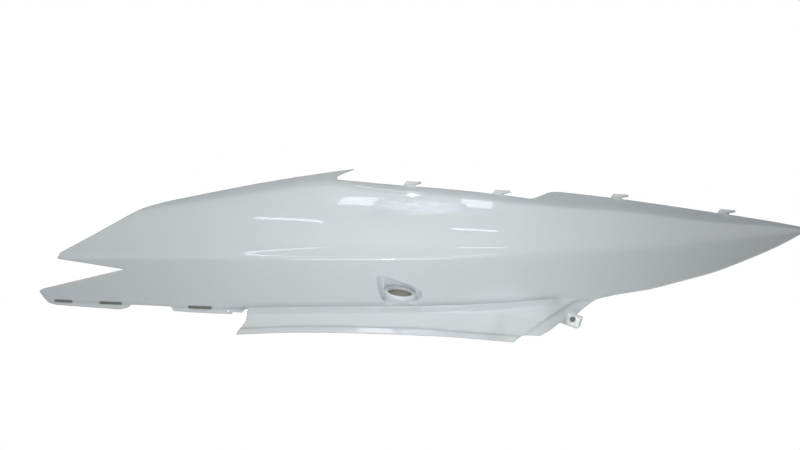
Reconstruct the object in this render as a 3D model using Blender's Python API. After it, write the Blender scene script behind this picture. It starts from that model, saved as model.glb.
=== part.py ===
# Left rear side panel of a scooter, moulded in one piece and painted outside.
#
# The panel is drawn as its mould is: an outline seen from the side, and a depth for every
# point inside it. Stations run along the length from the foremost tip, levels run up from
# the screw hole, and depths run inward from the fullest part of the panel. The outer skin
# is that depth. The inner skin is the face that a ball of the wall's thickness leaves when
# it rolls behind the outer one, so the wall is even on every slope and fold.
# Lengths are in millimetres until the mesh is made.

import math

import bpy
import numpy as np
from mathutils import Vector
from mathutils.geometry import delaunay_2d_cdt

MM = 0.001

# Wall and mesh
WALL = 2.5
MESH_STEP = 9.5
EDGE_STEP = 7.0
RIM_CLEARANCE = 0.9
GRID_CLEARANCE = 0.35
POCKET_CLEARANCE = 0.2
BORE_TURNS = 48
HOLE_TURNS = 4
TIP_TURNS = 6
BALL_RINGS = (0.5, 0.8, 0.95, 1.0)
BALL_TURNS = 12
SHARP_ANGLE = 30.0

# Depth of the ridge line along the length: the waist bulges and both ends turn inward
PLAN_CURVE = [(0, 32), (80, 20), (169, 9), (274, 2), (358, 0), (431, 2), (526, 10), (610, 26),
              (694, 52), (757, 78), (812, 104)]

# Feature lines of the show face, as (station, level)
CREASE_LINE = [(0, 106), (110, 119), (184, 129.4), (229, 136), (271, 141.9), (300, 144.8),
               (322, 142.8), (352, 138.2), (421, 132.8), (475, 127.4), (505, 123.3),
               (527, 121.5), (549, 118.8), (589, 116.4), (631, 113), (696, 105.2),
               (736, 101.6), (763, 99.6), (790, 96.4), (812, 93.4)]
RIDGE_LINE = [(0, 64.5), (300, 64.5), (463, 66.6), (536, 70.8), (610, 76), (694, 83.4),
              (757, 89.6), (812, 93)]
BASE_LINE = [(0, 20.5), (61, 17.6), (95, 16.4), (140, 14), (202, 11.8), (260, 12.4),
             (379, 13.5), (463, 15.6), (506, 18.3), (550, 21.7), (580, 23.6), (610, 27),
             (639, 31), (673, 39), (706, 48), (732, 57), (765, 71), (798, 87), (812, 92)]
LIP_LINE = [(200, -9.8), (243, -8), (277, -6.9), (305, -6.9), (350, -8.2), (400, -9.6),
            (438, -12.4), (482, -15.8), (510, -18)]

# Section of the show face, per millimetre of its height: -1 at the base line, 0 on the
# ridge and 1 at the crease. The plain section takes over where the ridge fades out.
RIDGED_SECTION = [(-1.0, 0.20), (-0.75, 0.125), (-0.5, 0.068), (-0.25, 0.026), (-0.08, 0.005),
                  (0.0, 0.0), (0.05, 0.011), (0.12, 0.029), (0.26, 0.040), (0.5, 0.062),
                  (0.75, 0.135), (1.0, 0.275)]
PLAIN_SECTION = [(-1.0, 0.20), (-0.5, 0.055), (0.0, 0.0), (0.5, 0.06), (1.0, 0.26)]
RIDGE_FADE_START = 420.0
RIDGE_FADE_LENGTH = 210.0

# Top flange above the crease
FLANGE_SLOPE = 1.6
FLANGE_BLEND = 1.5

# Outline, as (station, level)
FRONT_TOP = [(22.2, 70.2), (59.2, 90), (94, 109.4), (101, 113.1), (108.5, 116.5), (117, 119.4),
             (136.4, 124.5), (183.6, 134), (228.8, 142.7), (270.8, 149.7), (311.7, 155.6),
             (328, 157.8)]
MIDDLE_TOP = [(312.8, 146.9), (352.7, 143.2), (379, 140.9), (420.9, 137.6), (475.5, 132),
              (511, 127.4), (518.5, 127), (525, 129.2), (535, 133), (543, 134), (552, 133.4),
              (579.9, 130.3), (630.9, 123.9), (709.5, 112.5), (763, 104.4), (797.9, 98.2),
              (806, 96.6)]
TAIL_BOTTOM = [(592.6, 23), (610, 26.4), (639.3, 31), (672.9, 39.3), (706.5, 48.2),
               (731.7, 57.1), (765.3, 70.8), (782.1, 78.5), (797.9, 87), (805, 91)]
LIP_BOTTOM = [(207.3, -16), (231.9, -14.8), (269.7, -13.8), (310.7, -14), (362.1, -15.3),
              (400, -16.8), (437.7, -18.9), (481.8, -22.6), (497.9, -24)]
TAIL_TIP_STATION = 811.0
UPPER_PRONG_CORNER = (19.0, 63.8)
NOTCH_STATION = 89.3
NOTCH_LEVEL = 52.6
LOWER_PRONG_TIP = [(4.1, 32.4), (0.6, 30.6), (0, 29.2), (5.7, 21.5), (9.7, 17.4), (17.7, 15.2)]
FRONT_FLANGE_EDGE = [(85.3, 10.4), (94.0, 12.8), (96.5, 15.4), (124.6, 14.3), (138.3, 13.5),
                     (140, 11.9), (140.2, 9.9), (142.2, 8.9), (162.3, 7.3), (186.5, 6.1),
                     (202.3, 5.8), (203.8, 7.8), (212.9, 7.2), (216.2, 10.6)]
SKIRT_FRONT_EDGE = [(208.6, -13.0), (210.5, -9.9), (213.4, -6.9), (217.5, -0.9), (218.4, 5.8),
                    (219.2, 11.2)]
SKIRT_FRONT_LEVEL = 2.0
SKIRT_FRONT_OVERLAP = 1.5
SPIKE_TIP = (331.9, 158.2)
SPIKE_UNDERSIDE = [(327, 155.8), (320.9, 153.7), (313.4, 149.9)]

# Joggled flange under the front half, with its slots and locating hole
FRONT_JOGGLE = 2.4
FRONT_JOGGLE_HEIGHT = 2.6
FRONT_FLANGE_FLARE = 0.22
SLOT_STATIONS = [25.0, 75.0, 168.8]
SLOT_LENGTHS = [19.0, 23.5, 25.0]
SLOT_HEIGHT = 2.6
LOCATING_HOLE_DIAMETER = 2.2
LOCATING_HOLE_STATION = 198.8
LOCATING_HOLE_BELOW_BASE = 2.9

# Ledge, skirt and flared lip under the rear half
LEDGE_HEIGHT = 6.4
LEDGE_DEPTH = 7.0
LEDGE_FADE_START = 532.0
LEDGE_FADE_LENGTH = 34.0
SKIRT_FLARE = 0.12
SKIRT_FOLD_STATION = 479.5
SKIRT_FOLD_LEVEL = 7.8
SKIRT_FOLD_FALL = 0.19
SKIRT_FOLD_SLOPE = 0.28
SKIRT_FOLD_LENGTH = 25.0
LIP_FLARE = 0.42

# Recessed flange behind the skirt's slanting rear edge, and the screw tab on it
STEP_LINE = [(501.5, -27), (508.4, -17.8), (514, -12.9), (529.1, -2.2), (541, 5.6), (550, 11.3),
             (560.5, 18), (567.4, 20.8), (576.5, 22), (588, 20.6), (604, 16)]
STEP_DEPTH = 3.0
STEP_WIDTH = 2.2
RECESSED_FLANGE_EDGE = [(506.5, -17.2), (509.5, -16.6), (525.4, -17.3), (533.6, -13.1), (537, -10.9),
                        (546.5, -3.4)]
SCREW_STATION = 560.2
SCREW_LEVEL = 0.0
SCREW_HOLE_DIAMETER = 5.2
TAB_CORNERS = [(564.4, -9.8), (568.1, -7.7), (570.9, 3.0), (564.1, 5.2)]
TAB_REAR_EDGE = [(571.5, 11.6), (580.9, 18.6), (586, 21.4)]
TAB_JOGGLE_TURN = 13.0
TAB_JOGGLE_FROM_SCREW = 9.4
TAB_JOGGLE_WIDTH = 3.4
TAB_JOGGLE_DEPTH = 2.6
TAB_TOP_FROM_SCREW = 9.6
TAB_BOTTOM_FROM_SCREW = 8.0
SEAT_BELOW_SCREW = 5.0

# Pocket for the lock, with a round opening on its tilted shelf
POCKET_OUTLINE = [(352.8, 47.6), (362, 46.8), (376, 42.0), (388, 37.4), (402.5, 33.4),
                  (403.5, 25), (398.5, 16.6), (380, 15.8), (361.5, 15.8), (356.5, 27)]
POCKET_TOP = [(352.8, 47.6), (362, 46.8), (376, 42.0), (388, 37.4), (403.5, 33.0)]
POCKET_WALLS = [(352.8, 5.0), (364, 2.2), (390, 2.2), (403.5, 5.0)]
BOSS_STATION = 379.0
BOSS_LEVEL = 28.8
BOSS_HALF_LENGTH = 16.5
BOSS_HALF_WIDTH = 8.6
BORE_HALF_LENGTH = 12.8
BORE_HALF_WIDTH = 5.4
BOSS_TILT = 42.0
BOSS_ROLL = 7.0
BOSS_SETBACK = 0.8
BOSS_LEAN = -0.26
BOSS_EDGE_REACH = 0.9

# Hooks along the top edge
HOOK_STATIONS = [382.5, 475.8, 600.2, 713.5]
HOOK_ROOT = 12.2
HOOK_LENGTH = 19.4
HOOK_HEIGHT = 5.4
HOOK_HEEL = 2.8
HOOK_HEEL_HEIGHT = 4.6
HOOK_NOSE = 1.5
HOOK_NOSE_HEIGHT = 3.6
HOOK_MOUTH = 1.4
HOOK_MOUTH_START = 12.8
HOOK_LINE_START = 1.8
HOOK_FOLD_LOW = -0.2
HOOK_FOLD_HIGH = 0.8
HOOK_BACK_LOW = 0.8
HOOK_BACK_HIGH = 1.2
HOOK_SIDE = 3.0

# Lip turned inward along the tail's lower edge
RETURN_WIDTH = 1.6
RETURN_DEPTH = 5.0
RETURN_START_LENGTH = 12.0
RETURN_END_LENGTH = 24.0
RETURN_END_FROM_TIP = 7.2


def smooth_curve(points):
    """A curve through the points, as smooth as a bent spline, straight beyond its ends."""
    x = np.array([point[0] for point in points], float)
    y = np.array([point[1] for point in points], float)
    gaps = np.diff(x)
    rises = np.diff(y) / gaps
    count = len(x)
    matrix = np.eye(count)
    target = np.zeros(count)
    for i in range(1, count - 1):
        matrix[i, i - 1:i + 2] = [gaps[i - 1], 2 * (gaps[i - 1] + gaps[i]), gaps[i]]
        target[i] = 6 * (rises[i] - rises[i - 1])
    bend = np.linalg.solve(matrix, target)
    start_slope = rises[0] - gaps[0] * bend[1] / 6
    end_slope = rises[-1] + gaps[-1] * bend[-2] / 6

    def value(at):
        at = np.asarray(at, float)
        i = np.clip(np.searchsorted(x, at) - 1, 0, count - 2)
        a, b, gap = x[i + 1] - at, at - x[i], gaps[i]
        inside = (bend[i] * a ** 3 + bend[i + 1] * b ** 3) / (6 * gap)
        inside += (y[i] / gap - bend[i] * gap / 6) * a
        inside += (y[i + 1] / gap - bend[i + 1] * gap / 6) * b
        before = y[0] + start_slope * (at - x[0])
        after = y[-1] + end_slope * (at - x[-1])
        return np.where(at < x[0], before, np.where(at > x[-1], after, inside))

    return value


def ramp(value):
    """0 before 0, 1 after 1, straight between."""
    return np.clip(value, 0.0, 1.0)


def ease(value):
    """0 before 0, 1 after 1, with both ends eased."""
    value = ramp(value)
    return value * value * (3 - 2 * value)


def soft_above(value, blend):
    """The value where it is above 0, with the turn rounded over the blend."""
    return 0.5 * (value + np.sqrt(value * value + blend * blend)) - 0.5 * blend


plan = smooth_curve(PLAN_CURVE)
crease = smooth_curve(CREASE_LINE)
ridge = smooth_curve(RIDGE_LINE)
base = smooth_curve(BASE_LINE)
lip_crease = smooth_curve(LIP_LINE)
ridged_section = smooth_curve(RIDGED_SECTION)
plain_section = smooth_curve(PLAIN_SECTION)
middle_top = smooth_curve(MIDDLE_TOP)
tail_bottom = smooth_curve(TAIL_BOTTOM)
lip_bottom = smooth_curve(LIP_BOTTOM)


def show_face(station, level):
    """Depth of the painted face and of the flange above its crease."""
    top, middle, low = crease(station), ridge(station), base(station)
    upper = np.maximum(top - middle, 1.0)
    lower = np.maximum(middle - low, 1.0)
    height = np.where(level > middle, upper, lower)
    share = np.clip((level - middle) / height, -1.0, 1.0)
    fade = ease((station - RIDGE_FADE_START) / RIDGE_FADE_LENGTH)
    section = ridged_section(share) * (1 - fade) + plain_section(share) * fade
    flange = FLANGE_SLOPE * soft_above(level - top, FLANGE_BLEND)
    return plan(station) + section * height + flange


def front_flange(station, level, depth):
    """Step inward below the base line, in front of the skirt."""
    below = base(station) - level + FRONT_JOGGLE_HEIGHT / 2
    step = FRONT_JOGGLE * ramp(below / FRONT_JOGGLE_HEIGHT)
    flare = FRONT_FLANGE_FLARE * np.maximum(below - FRONT_JOGGLE_HEIGHT, 0.0)
    return depth + step - flare


def skirt(station, level, depth):
    """Ledge outward under the base line, then the skirt and its flared lip."""
    below = np.maximum(base(station) - level, 0.0)
    reach = LEDGE_DEPTH * (1 - ease((station - LEDGE_FADE_START) / LEDGE_FADE_LENGTH))
    depth = depth - reach * ramp(below / LEDGE_HEIGHT)
    depth = depth - SKIRT_FLARE * np.maximum(below - LEDGE_HEIGHT, 0.0)
    lip = np.maximum(lip_crease(station) - level, 0.0)
    depth = depth - LIP_FLARE * lip
    fold_level = SKIRT_FOLD_LEVEL - SKIRT_FOLD_FALL * (station - SKIRT_FOLD_STATION)
    start = ease((station - SKIRT_FOLD_STATION) / SKIRT_FOLD_LENGTH + 0.5)
    fold = start * np.maximum(fold_level - level, 0.0)
    return depth + SKIRT_FOLD_SLOPE * fold


def line_side(line, station, level):
    """Distance from a line of points: positive to the right of its direction."""
    best = np.full(np.shape(station), 1e9)
    side = np.zeros(np.shape(station))
    for (ax, az), (bx, bz) in zip(line[:-1], line[1:]):
        dx, dz = bx - ax, bz - az
        along = np.clip(((station - ax) * dx + (level - az) * dz) / (dx * dx + dz * dz), 0, 1)
        px, pz = station - ax - along * dx, level - az - along * dz
        distance = np.hypot(px, pz)
        cross = dz * (station - ax) - dx * (level - az)
        closer = distance < best
        best = np.where(closer, distance, best)
        side = np.where(closer, np.sign(cross), side)
    return best * side


def from_screw(station, level):
    """Place on the tab: distance past the screw hole, and height above it."""
    turn = math.radians(TAB_JOGGLE_TURN)
    along, up = station - SCREW_STATION, level - SCREW_LEVEL
    return (along * math.cos(turn) - up * math.sin(turn),
            along * math.sin(turn) + up * math.cos(turn))


def recessed(station, level, depth):
    """Step inward behind the skirt's rear edge, then the flat screw tab."""
    behind = line_side(STEP_LINE, station, level)
    depth = depth + STEP_DEPTH * ramp(behind / STEP_WIDTH + 0.5)
    past, above = from_screw(station, level)
    on_tab = ramp((past + TAB_JOGGLE_FROM_SCREW) / TAB_JOGGLE_WIDTH)
    on_tab = on_tab * ramp((TAB_TOP_FROM_SCREW - above) / TAB_JOGGLE_WIDTH)
    return depth * (1 - on_tab) + tab_depth() * on_tab


def tab_depth():
    """One depth for the whole tab, so that its seat is flat."""
    station = np.array(SCREW_STATION - TAB_JOGGLE_FROM_SCREW)
    level = np.array(SCREW_LEVEL)
    flat = skirt(station, level, show_face(station, level))
    return float(flat) + STEP_DEPTH + TAB_JOGGLE_DEPTH


def boss_axes():
    """The boss's axis, out of the panel, and two directions across it."""
    tilt, roll = math.radians(BOSS_TILT), math.radians(BOSS_ROLL)
    axis = np.array([math.sin(tilt) * math.sin(roll), -math.cos(tilt),
                     math.sin(tilt) * math.cos(roll)])
    across = np.array([math.cos(roll), 0.0, -math.sin(roll)])
    back = np.array([math.cos(tilt) * math.sin(roll), math.sin(tilt),
                     math.cos(tilt) * math.cos(roll)])
    return axis, across, back


def boss_depth():
    """Depth of the boss's centre, which sets its near lip just behind the panel's face."""
    tilt = math.radians(BOSS_TILT)
    near_level = BOSS_LEVEL - BOSS_HALF_WIDTH * math.cos(tilt)
    face = float(show_face(np.array(BOSS_STATION), np.array(near_level)))
    return face + BOSS_SETBACK + BOSS_HALF_WIDTH * math.sin(tilt)


def shelf_depth(station, level):
    """Depth of the tilted plane in which the boss's oval mouth lies."""
    axis = boss_axes()[0]
    along, up = station - BOSS_STATION, level - BOSS_LEVEL
    return boss_depth() - (axis[0] * along + axis[2] * up) / axis[1]


def pocket_floor(station, level, face):
    """The scoop above the boss, its tilted mouth, and the round front below it."""
    tilt = math.radians(BOSS_TILT)
    along = station - BOSS_STATION
    share = np.clip(np.abs(along) / BOSS_HALF_LENGTH, 0, 1)
    half = BOSS_HALF_WIDTH * np.sqrt(1 - share ** 2)
    middle = BOSS_LEVEL - math.tan(math.radians(BOSS_ROLL)) * along
    near_level = middle - half * math.cos(tilt)
    far_level = middle + half * math.cos(tilt)
    shelf = shelf_depth(station, level)
    front = shelf_depth(station, near_level) + BOSS_LEAN * (level - near_level)
    floor = np.maximum(shelf, front)
    top_level = np.interp(station, *zip(*POCKET_TOP))
    sunk = np.clip((top_level - level) / np.maximum(top_level - far_level, 1.0), 0, 1)
    scoop = face + (shelf_depth(station, far_level) - face) * sunk
    return np.where(level > far_level, scoop, floor)


def pocket_wall(station):
    """Width that the pocket's wall takes seen from the side: wide at both ends."""
    return np.interp(station, *zip(*POCKET_WALLS))


def rounded_loop(points, passes):
    """A closed loop with its corners cut off again and again."""
    for _ in range(passes):
        cut = []
        for (ax, az), (bx, bz) in zip(points, points[1:] + points[:1]):
            cut.append((0.75 * ax + 0.25 * bx, 0.75 * az + 0.25 * bz))
            cut.append((0.25 * ax + 0.75 * bx, 0.25 * az + 0.75 * bz))
        points = cut
    return points


POCKET_LOOP = rounded_loop(POCKET_OUTLINE, 3)


def pocket(station, level, depth):
    """Sink the pocket into the face."""
    inside = line_side(POCKET_LOOP + POCKET_LOOP[:1], station, level)
    share = ramp(inside / pocket_wall(station))
    return depth + (np.maximum(pocket_floor(station, level, depth), depth) - depth) * share


def hook_plane(station, level, depth, low, high, behind):
    """Between two heights above the top edge, turn into the upright plane of each hook."""
    above = level - middle_top(station)
    for start in HOOK_STATIONS:
        middle = start + HOOK_ROOT / 2
        edge = float(middle_top(middle))
        plane = float(show_face(np.array(middle), np.array(edge))) + behind
        near = (station > start - HOOK_SIDE) & (station < start + HOOK_LENGTH + HOOK_SIDE)
        turned = depth + (plane - depth) * ramp((above - low) / (high - low))
        depth = np.where(near, turned, depth)
    return depth


def return_lip(station, level, depth):
    """Turn the tail's lower edge inward."""
    on = ease((station - TAIL_BOTTOM[0][0]) / RETURN_START_LENGTH)
    above = level - tail_bottom(station)
    off = ease((TAIL_TIP_STATION - RETURN_END_FROM_TIP - station) / RETURN_END_LENGTH)
    return depth + RETURN_DEPTH * on * off * ramp(1 - above / RETURN_WIDTH)


def outer_depth(station, level):
    """Depth of the outer skin anywhere on the panel."""
    station, level = np.asarray(station, float), np.asarray(level, float)
    depth = show_face(station, level)
    skirt_start = SKIRT_FRONT_EDGE[-1][0] - SKIRT_FRONT_OVERLAP
    front = front_flange(station, level, depth)
    rear = recessed(station, level, skirt(station, level, depth))
    depth = np.where((station < skirt_start) & (level > SKIRT_FRONT_LEVEL), front, rear)
    depth = pocket(station, level, depth)
    depth = return_lip(station, level, depth)
    return hook_plane(station, level, depth, HOOK_FOLD_LOW, HOOK_FOLD_HIGH, 0.0)


def inner_depth(station, level):
    """Depth of the inner skin: a ball of the wall's thickness rolled behind the outer one."""
    station, level = np.asarray(station, float), np.asarray(level, float)
    deepest = outer_depth(station, level) + WALL
    for share in BALL_RINGS:
        reach = WALL * share
        stand = math.sqrt(max(WALL * WALL - reach * reach, 0.0))
        for turn in range(BALL_TURNS):
            angle = 2 * math.pi * turn / BALL_TURNS
            beside = outer_depth(station + reach * math.cos(angle),
                                 level + reach * math.sin(angle))
            deepest = np.maximum(deepest, beside + stand)
    return hook_plane(station, level, deepest, HOOK_BACK_LOW, HOOK_BACK_HIGH, WALL)


def sampled(curve, start, end, step):
    """Points along a curve, from one station to another, both ends included."""
    count = max(2, int(math.ceil(abs(end - start) / step)) + 1)
    stations = np.linspace(start, end, count)
    return [(float(s), float(z)) for s, z in zip(stations, curve(stations))]


def divided(points, step):
    """The same run of points with its long legs divided."""
    result = [points[0]]
    for (ax, az), (bx, bz) in zip(points[:-1], points[1:]):
        legs = max(1, int(math.ceil(math.hypot(bx - ax, bz - az) / step)))
        for leg in range(1, legs + 1):
            share = leg / legs
            result.append((ax + (bx - ax) * share, az + (bz - az) * share))
    return result


def hook_outline(start):
    """One hook, drawn along the edge it stands on."""
    ax, az = start, float(middle_top(start))
    bx, bz = start + HOOK_ROOT, float(middle_top(start + HOOK_ROOT))
    length = math.hypot(bx - ax, bz - az)
    along = ((bx - ax) / length, (bz - az) / length)
    shape = [(0, 0), (HOOK_HEEL, HOOK_HEEL_HEIGHT), (HOOK_LENGTH - HOOK_NOSE, HOOK_HEIGHT),
             (HOOK_LENGTH, HOOK_NOSE_HEIGHT), (HOOK_MOUTH_START, HOOK_MOUTH), (length, 0)]
    return [(ax + t * along[0] - n * along[1], az + t * along[1] + n * along[0])
            for t, n in shape]


def top_edge(step):
    """The top edge from the spike to the tail, with the hooks on it."""
    points, reached = [], MIDDLE_TOP[0][0]
    for start in HOOK_STATIONS:
        points += sampled(middle_top, reached, start, step)[:-1]
        points += hook_outline(start)[:-1]
        reached = start + HOOK_ROOT
    return points + sampled(middle_top, reached, MIDDLE_TOP[-1][0], step)


def tail_tip(turns):
    """The blunt end of the tail, a half round between its two edges."""
    (ax, az), (bx, bz) = MIDDLE_TOP[-1], TAIL_BOTTOM[-1]
    points = []
    for turn in range(1, turns):
        angle = math.pi * turn / turns
        share = 0.5 - 0.5 * math.cos(angle)
        bulge = (TAIL_TIP_STATION - (ax + bx) / 2) * math.sin(angle)
        points.append((ax + (bx - ax) * share + bulge, az + (bz - az) * share))
    return points


def outline(step):
    """The whole silhouette, clockwise from the lower prong's tip."""
    points = list(LOWER_PRONG_TIP[::-1])
    points += divided([LOWER_PRONG_TIP[0], (NOTCH_STATION, NOTCH_LEVEL)], step)[1:]
    points += divided([(NOTCH_STATION, NOTCH_LEVEL), UPPER_PRONG_CORNER], step)[1:]
    points += divided(FRONT_TOP, step)
    points += [SPIKE_TIP] + SPIKE_UNDERSIDE
    points += top_edge(step)
    points += tail_tip(TIP_TURNS)
    points += sampled(tail_bottom, TAIL_BOTTOM[-1][0], TAIL_BOTTOM[0][0], step)
    points += divided(TAB_REAR_EDGE[::-1] + TAB_CORNERS[::-1] + RECESSED_FLANGE_EDGE[::-1],
                      step / 2)
    points += sampled(lip_bottom, LIP_BOTTOM[-1][0], LIP_BOTTOM[0][0], step)
    points += divided(SKIRT_FRONT_EDGE, step / 2)
    points += divided(FRONT_FLANGE_EDGE[::-1], step)
    points += divided([FRONT_FLANGE_EDGE[0], LOWER_PRONG_TIP[-1]], step)[1:-1]
    return points


def round_hole(station, level, radius, turns):
    """A circle seen from the side."""
    return [(station + radius * math.cos(2 * math.pi * i / turns),
             level + radius * math.sin(2 * math.pi * i / turns)) for i in range(turns)]


def slot_outline(middle, length, turns):
    """A round-ended slot that follows the base line."""
    radius, points = SLOT_HEIGHT / 2, []
    for end, first in ((length / 2 - radius, -0.5), (radius - length / 2, 0.5)):
        for i in range(turns + 1):
            angle = math.pi * (first + i / turns)
            s = middle + end + radius * math.cos(angle)
            points.append((s, float(base(middle + end)) + radius * math.sin(angle)))
        side = math.copysign(radius, end)
        for share in (0.35, 0.0, -0.35):
            s = middle + share * end / 0.5
            points.append((s, float(base(s)) + side))
    return points


def plain_holes(turns):
    """The openings that run straight through, along the mould's draw."""
    holes = [slot_outline(s, length, turns) for s, length in zip(SLOT_STATIONS, SLOT_LENGTHS)]
    holes.append(round_hole(SCREW_STATION, SCREW_LEVEL, SCREW_HOLE_DIAMETER / 2, turns * 4))
    level = float(base(LOCATING_HOLE_STATION)) - LOCATING_HOLE_BELOW_BASE
    holes.append(round_hole(LOCATING_HOLE_STATION, level, LOCATING_HOLE_DIAMETER / 2, turns * 2))
    return holes


def bore_loop(beyond, turns):
    """The oval bore's edge in space, at a distance behind the mouth's face."""
    axis, across, back = boss_axes()
    centre = np.array([BOSS_STATION, boss_depth(), BOSS_LEVEL]) - axis * beyond
    loop = []
    for i in range(turns):
        angle = 2 * math.pi * i / turns
        spot = across * BORE_HALF_LENGTH * math.cos(angle)
        loop.append(centre + spot + back * BORE_HALF_WIDTH * math.sin(angle))
    return loop


def grown(loop, distance):
    """A clockwise or anticlockwise loop moved outward by a distance, or inward if negative."""
    points = np.array(loop)
    before, after = np.roll(points, 1, axis=0), np.roll(points, -1, axis=0)
    tangent = after - before
    normal = np.stack([tangent[:, 1], -tangent[:, 0]], axis=1)
    normal /= np.linalg.norm(normal, axis=1)[:, None]
    area = np.sum(points[:, 0] * after[:, 1] - points[:, 1] * after[:, 0])
    return points + normal * np.sign(area) * np.reshape(distance, (-1, 1))


def boss_edges(turns):
    """The edge round the boss's tilted mouth, and a line close outside it."""
    tilt, slope = math.radians(BOSS_TILT), math.tan(math.radians(BOSS_ROLL))
    lines = []
    for out in (0.0, BOSS_EDGE_REACH):
        line = []
        for i in range(turns + 1):
            angle = 2 * math.pi * i / turns
            along = (BOSS_HALF_LENGTH + out) * math.cos(angle)
            up = (BOSS_HALF_WIDTH * math.cos(tilt) + out) * math.sin(angle) - slope * along
            line.append((BOSS_STATION + along, BOSS_LEVEL + up))
        lines.append(line)
    return lines


def tab_fold(past, low, high):
    """A line across the tab, at a distance past the screw hole."""
    turn = math.radians(TAB_JOGGLE_TURN)
    return [(SCREW_STATION + past * math.cos(turn) + above * math.sin(turn),
             SCREW_LEVEL - past * math.sin(turn) + above * math.cos(turn))
            for above in np.linspace(low, high, 5)]


def beside_line(line, distance, step):
    """A run of points at a distance beside a line, on the right of its direction."""
    points = np.array(divided(line, step))
    tangent = np.gradient(points, axis=0)
    normal = np.stack([tangent[:, 1], -tangent[:, 0]], axis=1)
    normal /= np.linalg.norm(normal, axis=1)[:, None]
    return [tuple(point) for point in points + normal * distance]


def fold_lines(step, behind):
    """Folds and steps that the mesh follows. Behind the wall, the pocket's move outward."""
    first, last = LOWER_PRONG_TIP[2][0], TAIL_TIP_STATION
    skirt_start = SKIRT_FRONT_EDGE[-1][0]
    front_end = skirt_start - SKIRT_FRONT_OVERLAP
    half = FRONT_JOGGLE_HEIGHT / 2
    return_end = last - RETURN_END_FROM_TIP
    fold_end = STEP_LINE[3][0]
    fold_drop = SKIRT_FOLD_FALL * (fold_end - SKIRT_FOLD_STATION)
    lines = [
        sampled(crease, FRONT_TOP[6][0], last, step),
        sampled(ridge, first, last, step),
        sampled(lambda s: base(s) + half, first, front_end, step / 3),
        sampled(lambda s: base(s) - half, first, front_end, step / 3),
        sampled(base, skirt_start, LEDGE_FADE_START + LEDGE_FADE_LENGTH, step),
        sampled(lambda s: base(s) - LEDGE_HEIGHT, skirt_start, STEP_LINE[4][0], step),
        sampled(lip_crease, SKIRT_FRONT_EDGE[0][0], STEP_LINE[1][0], step),
        divided([(SKIRT_FOLD_STATION, SKIRT_FOLD_LEVEL), (fold_end, SKIRT_FOLD_LEVEL - fold_drop)],
                step),
        sampled(lambda s: tail_bottom(s) + RETURN_WIDTH, STEP_LINE[-1][0], return_end, step),
        beside_line(STEP_LINE, -STEP_WIDTH / 2, step),
        beside_line(STEP_LINE, STEP_WIDTH / 2, step),
        tab_fold(-TAB_JOGGLE_FROM_SCREW, -TAB_BOTTOM_FROM_SCREW, TAB_TOP_FROM_SCREW),
        tab_fold(TAB_JOGGLE_WIDTH - TAB_JOGGLE_FROM_SCREW, -TAB_BOTTOM_FROM_SCREW,
                 TAB_TOP_FROM_SCREW - TAB_JOGGLE_WIDTH),
    ]
    folds = (HOOK_FOLD_LOW, HOOK_BACK_LOW, HOOK_BACK_HIGH) if behind else (
        HOOK_FOLD_LOW, HOOK_FOLD_HIGH)
    for start in HOOK_STATIONS:
        for rise in folds:
            lines.append(sampled(lambda s: middle_top(s) + rise, start + HOOK_LINE_START,
                                 start + HOOK_ROOT - HOOK_LINE_START, step / 3))
    out = WALL if behind else 0.0
    wide = np.array([pocket_wall(s) for s, _ in POCKET_LOOP])
    pocket_loops = [grown(POCKET_LOOP, out), grown(POCKET_LOOP, out - wide)]
    if behind:
        pocket_loops.append(grown(POCKET_LOOP, -wide))
    else:
        lines += boss_edges(BORE_TURNS)
    for loop in pocket_loops:
        closed = [tuple(point) for point in loop]
        lines.append(closed + closed[:1])
    return lines


def segment_distance(points, starts, ends):
    """Distance from each point to the nearest of many segments."""
    best = np.full(len(points), 1e9)
    for a, b in zip(starts, ends):
        leg = b - a
        size = max(float(leg @ leg), 1e-12)
        share = np.clip(((points - a) @ leg) / size, 0, 1)
        off = points - a - share[:, None] * leg
        best = np.minimum(best, np.hypot(off[:, 0], off[:, 1]))
    return best


def loop_segments(loops):
    """The start and end of every segment of closed loops."""
    starts = np.concatenate([np.array(loop) for loop in loops])
    ends = np.concatenate([np.roll(np.array(loop), -1, axis=0) for loop in loops])
    return starts, ends


def inside_loop(points, loop):
    """Whether each point lies inside a closed loop."""
    inside = np.zeros(len(points), bool)
    x, z = points[:, 0], points[:, 1]
    for (ax, az), (bx, bz) in zip(loop, list(loop[1:]) + [loop[0]]):
        if az == bz:
            continue
        crosses = ((az > z) != (bz > z)) & (x < (bx - ax) * (z - az) / (bz - az) + ax)
        inside ^= crosses
    return inside


def inside_panel(points, loops):
    """Whether each point lies on the panel's material."""
    inside = inside_loop(points, loops[0])
    for hole in loops[1:]:
        inside &= ~inside_loop(points, hole)
    return inside


def face_rows(step):
    """Points in rows between the base line, the ridge and the crease, as a loft has them."""
    points = []
    stations = np.arange(step / 2, TAIL_TIP_STATION, step)
    for low, high in ((base, ridge), (ridge, crease)):
        tallest = float(np.max(high(stations) - low(stations)))
        rows = int(round(tallest / step))
        for row in range(1, rows):
            shift = step / 4 if row % 2 else -step / 4
            at = stations + shift
            share = row / rows
            levels = low(at) * (1 - share) + high(at) * share
            points += list(zip(at, levels))
    return np.array(points)


def spare_grid(step):
    """A staggered grid for the flanges above the crease and the skirt below the base line."""
    points = []
    low, high = LIP_BOTTOM[-1][1], SPIKE_TIP[1]
    for i, level in enumerate(np.arange(low, high, step * 0.87)):
        shift = step / 2 if i % 2 else 0.0
        points += [(s, level) for s in np.arange(shift, TAIL_TIP_STATION, step)]
    points = np.array(points)
    above = points[:, 1] > crease(points[:, 0]) + step * 0.4
    below = points[:, 1] < base(points[:, 0]) - step * 0.4
    return points[above | below]


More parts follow.
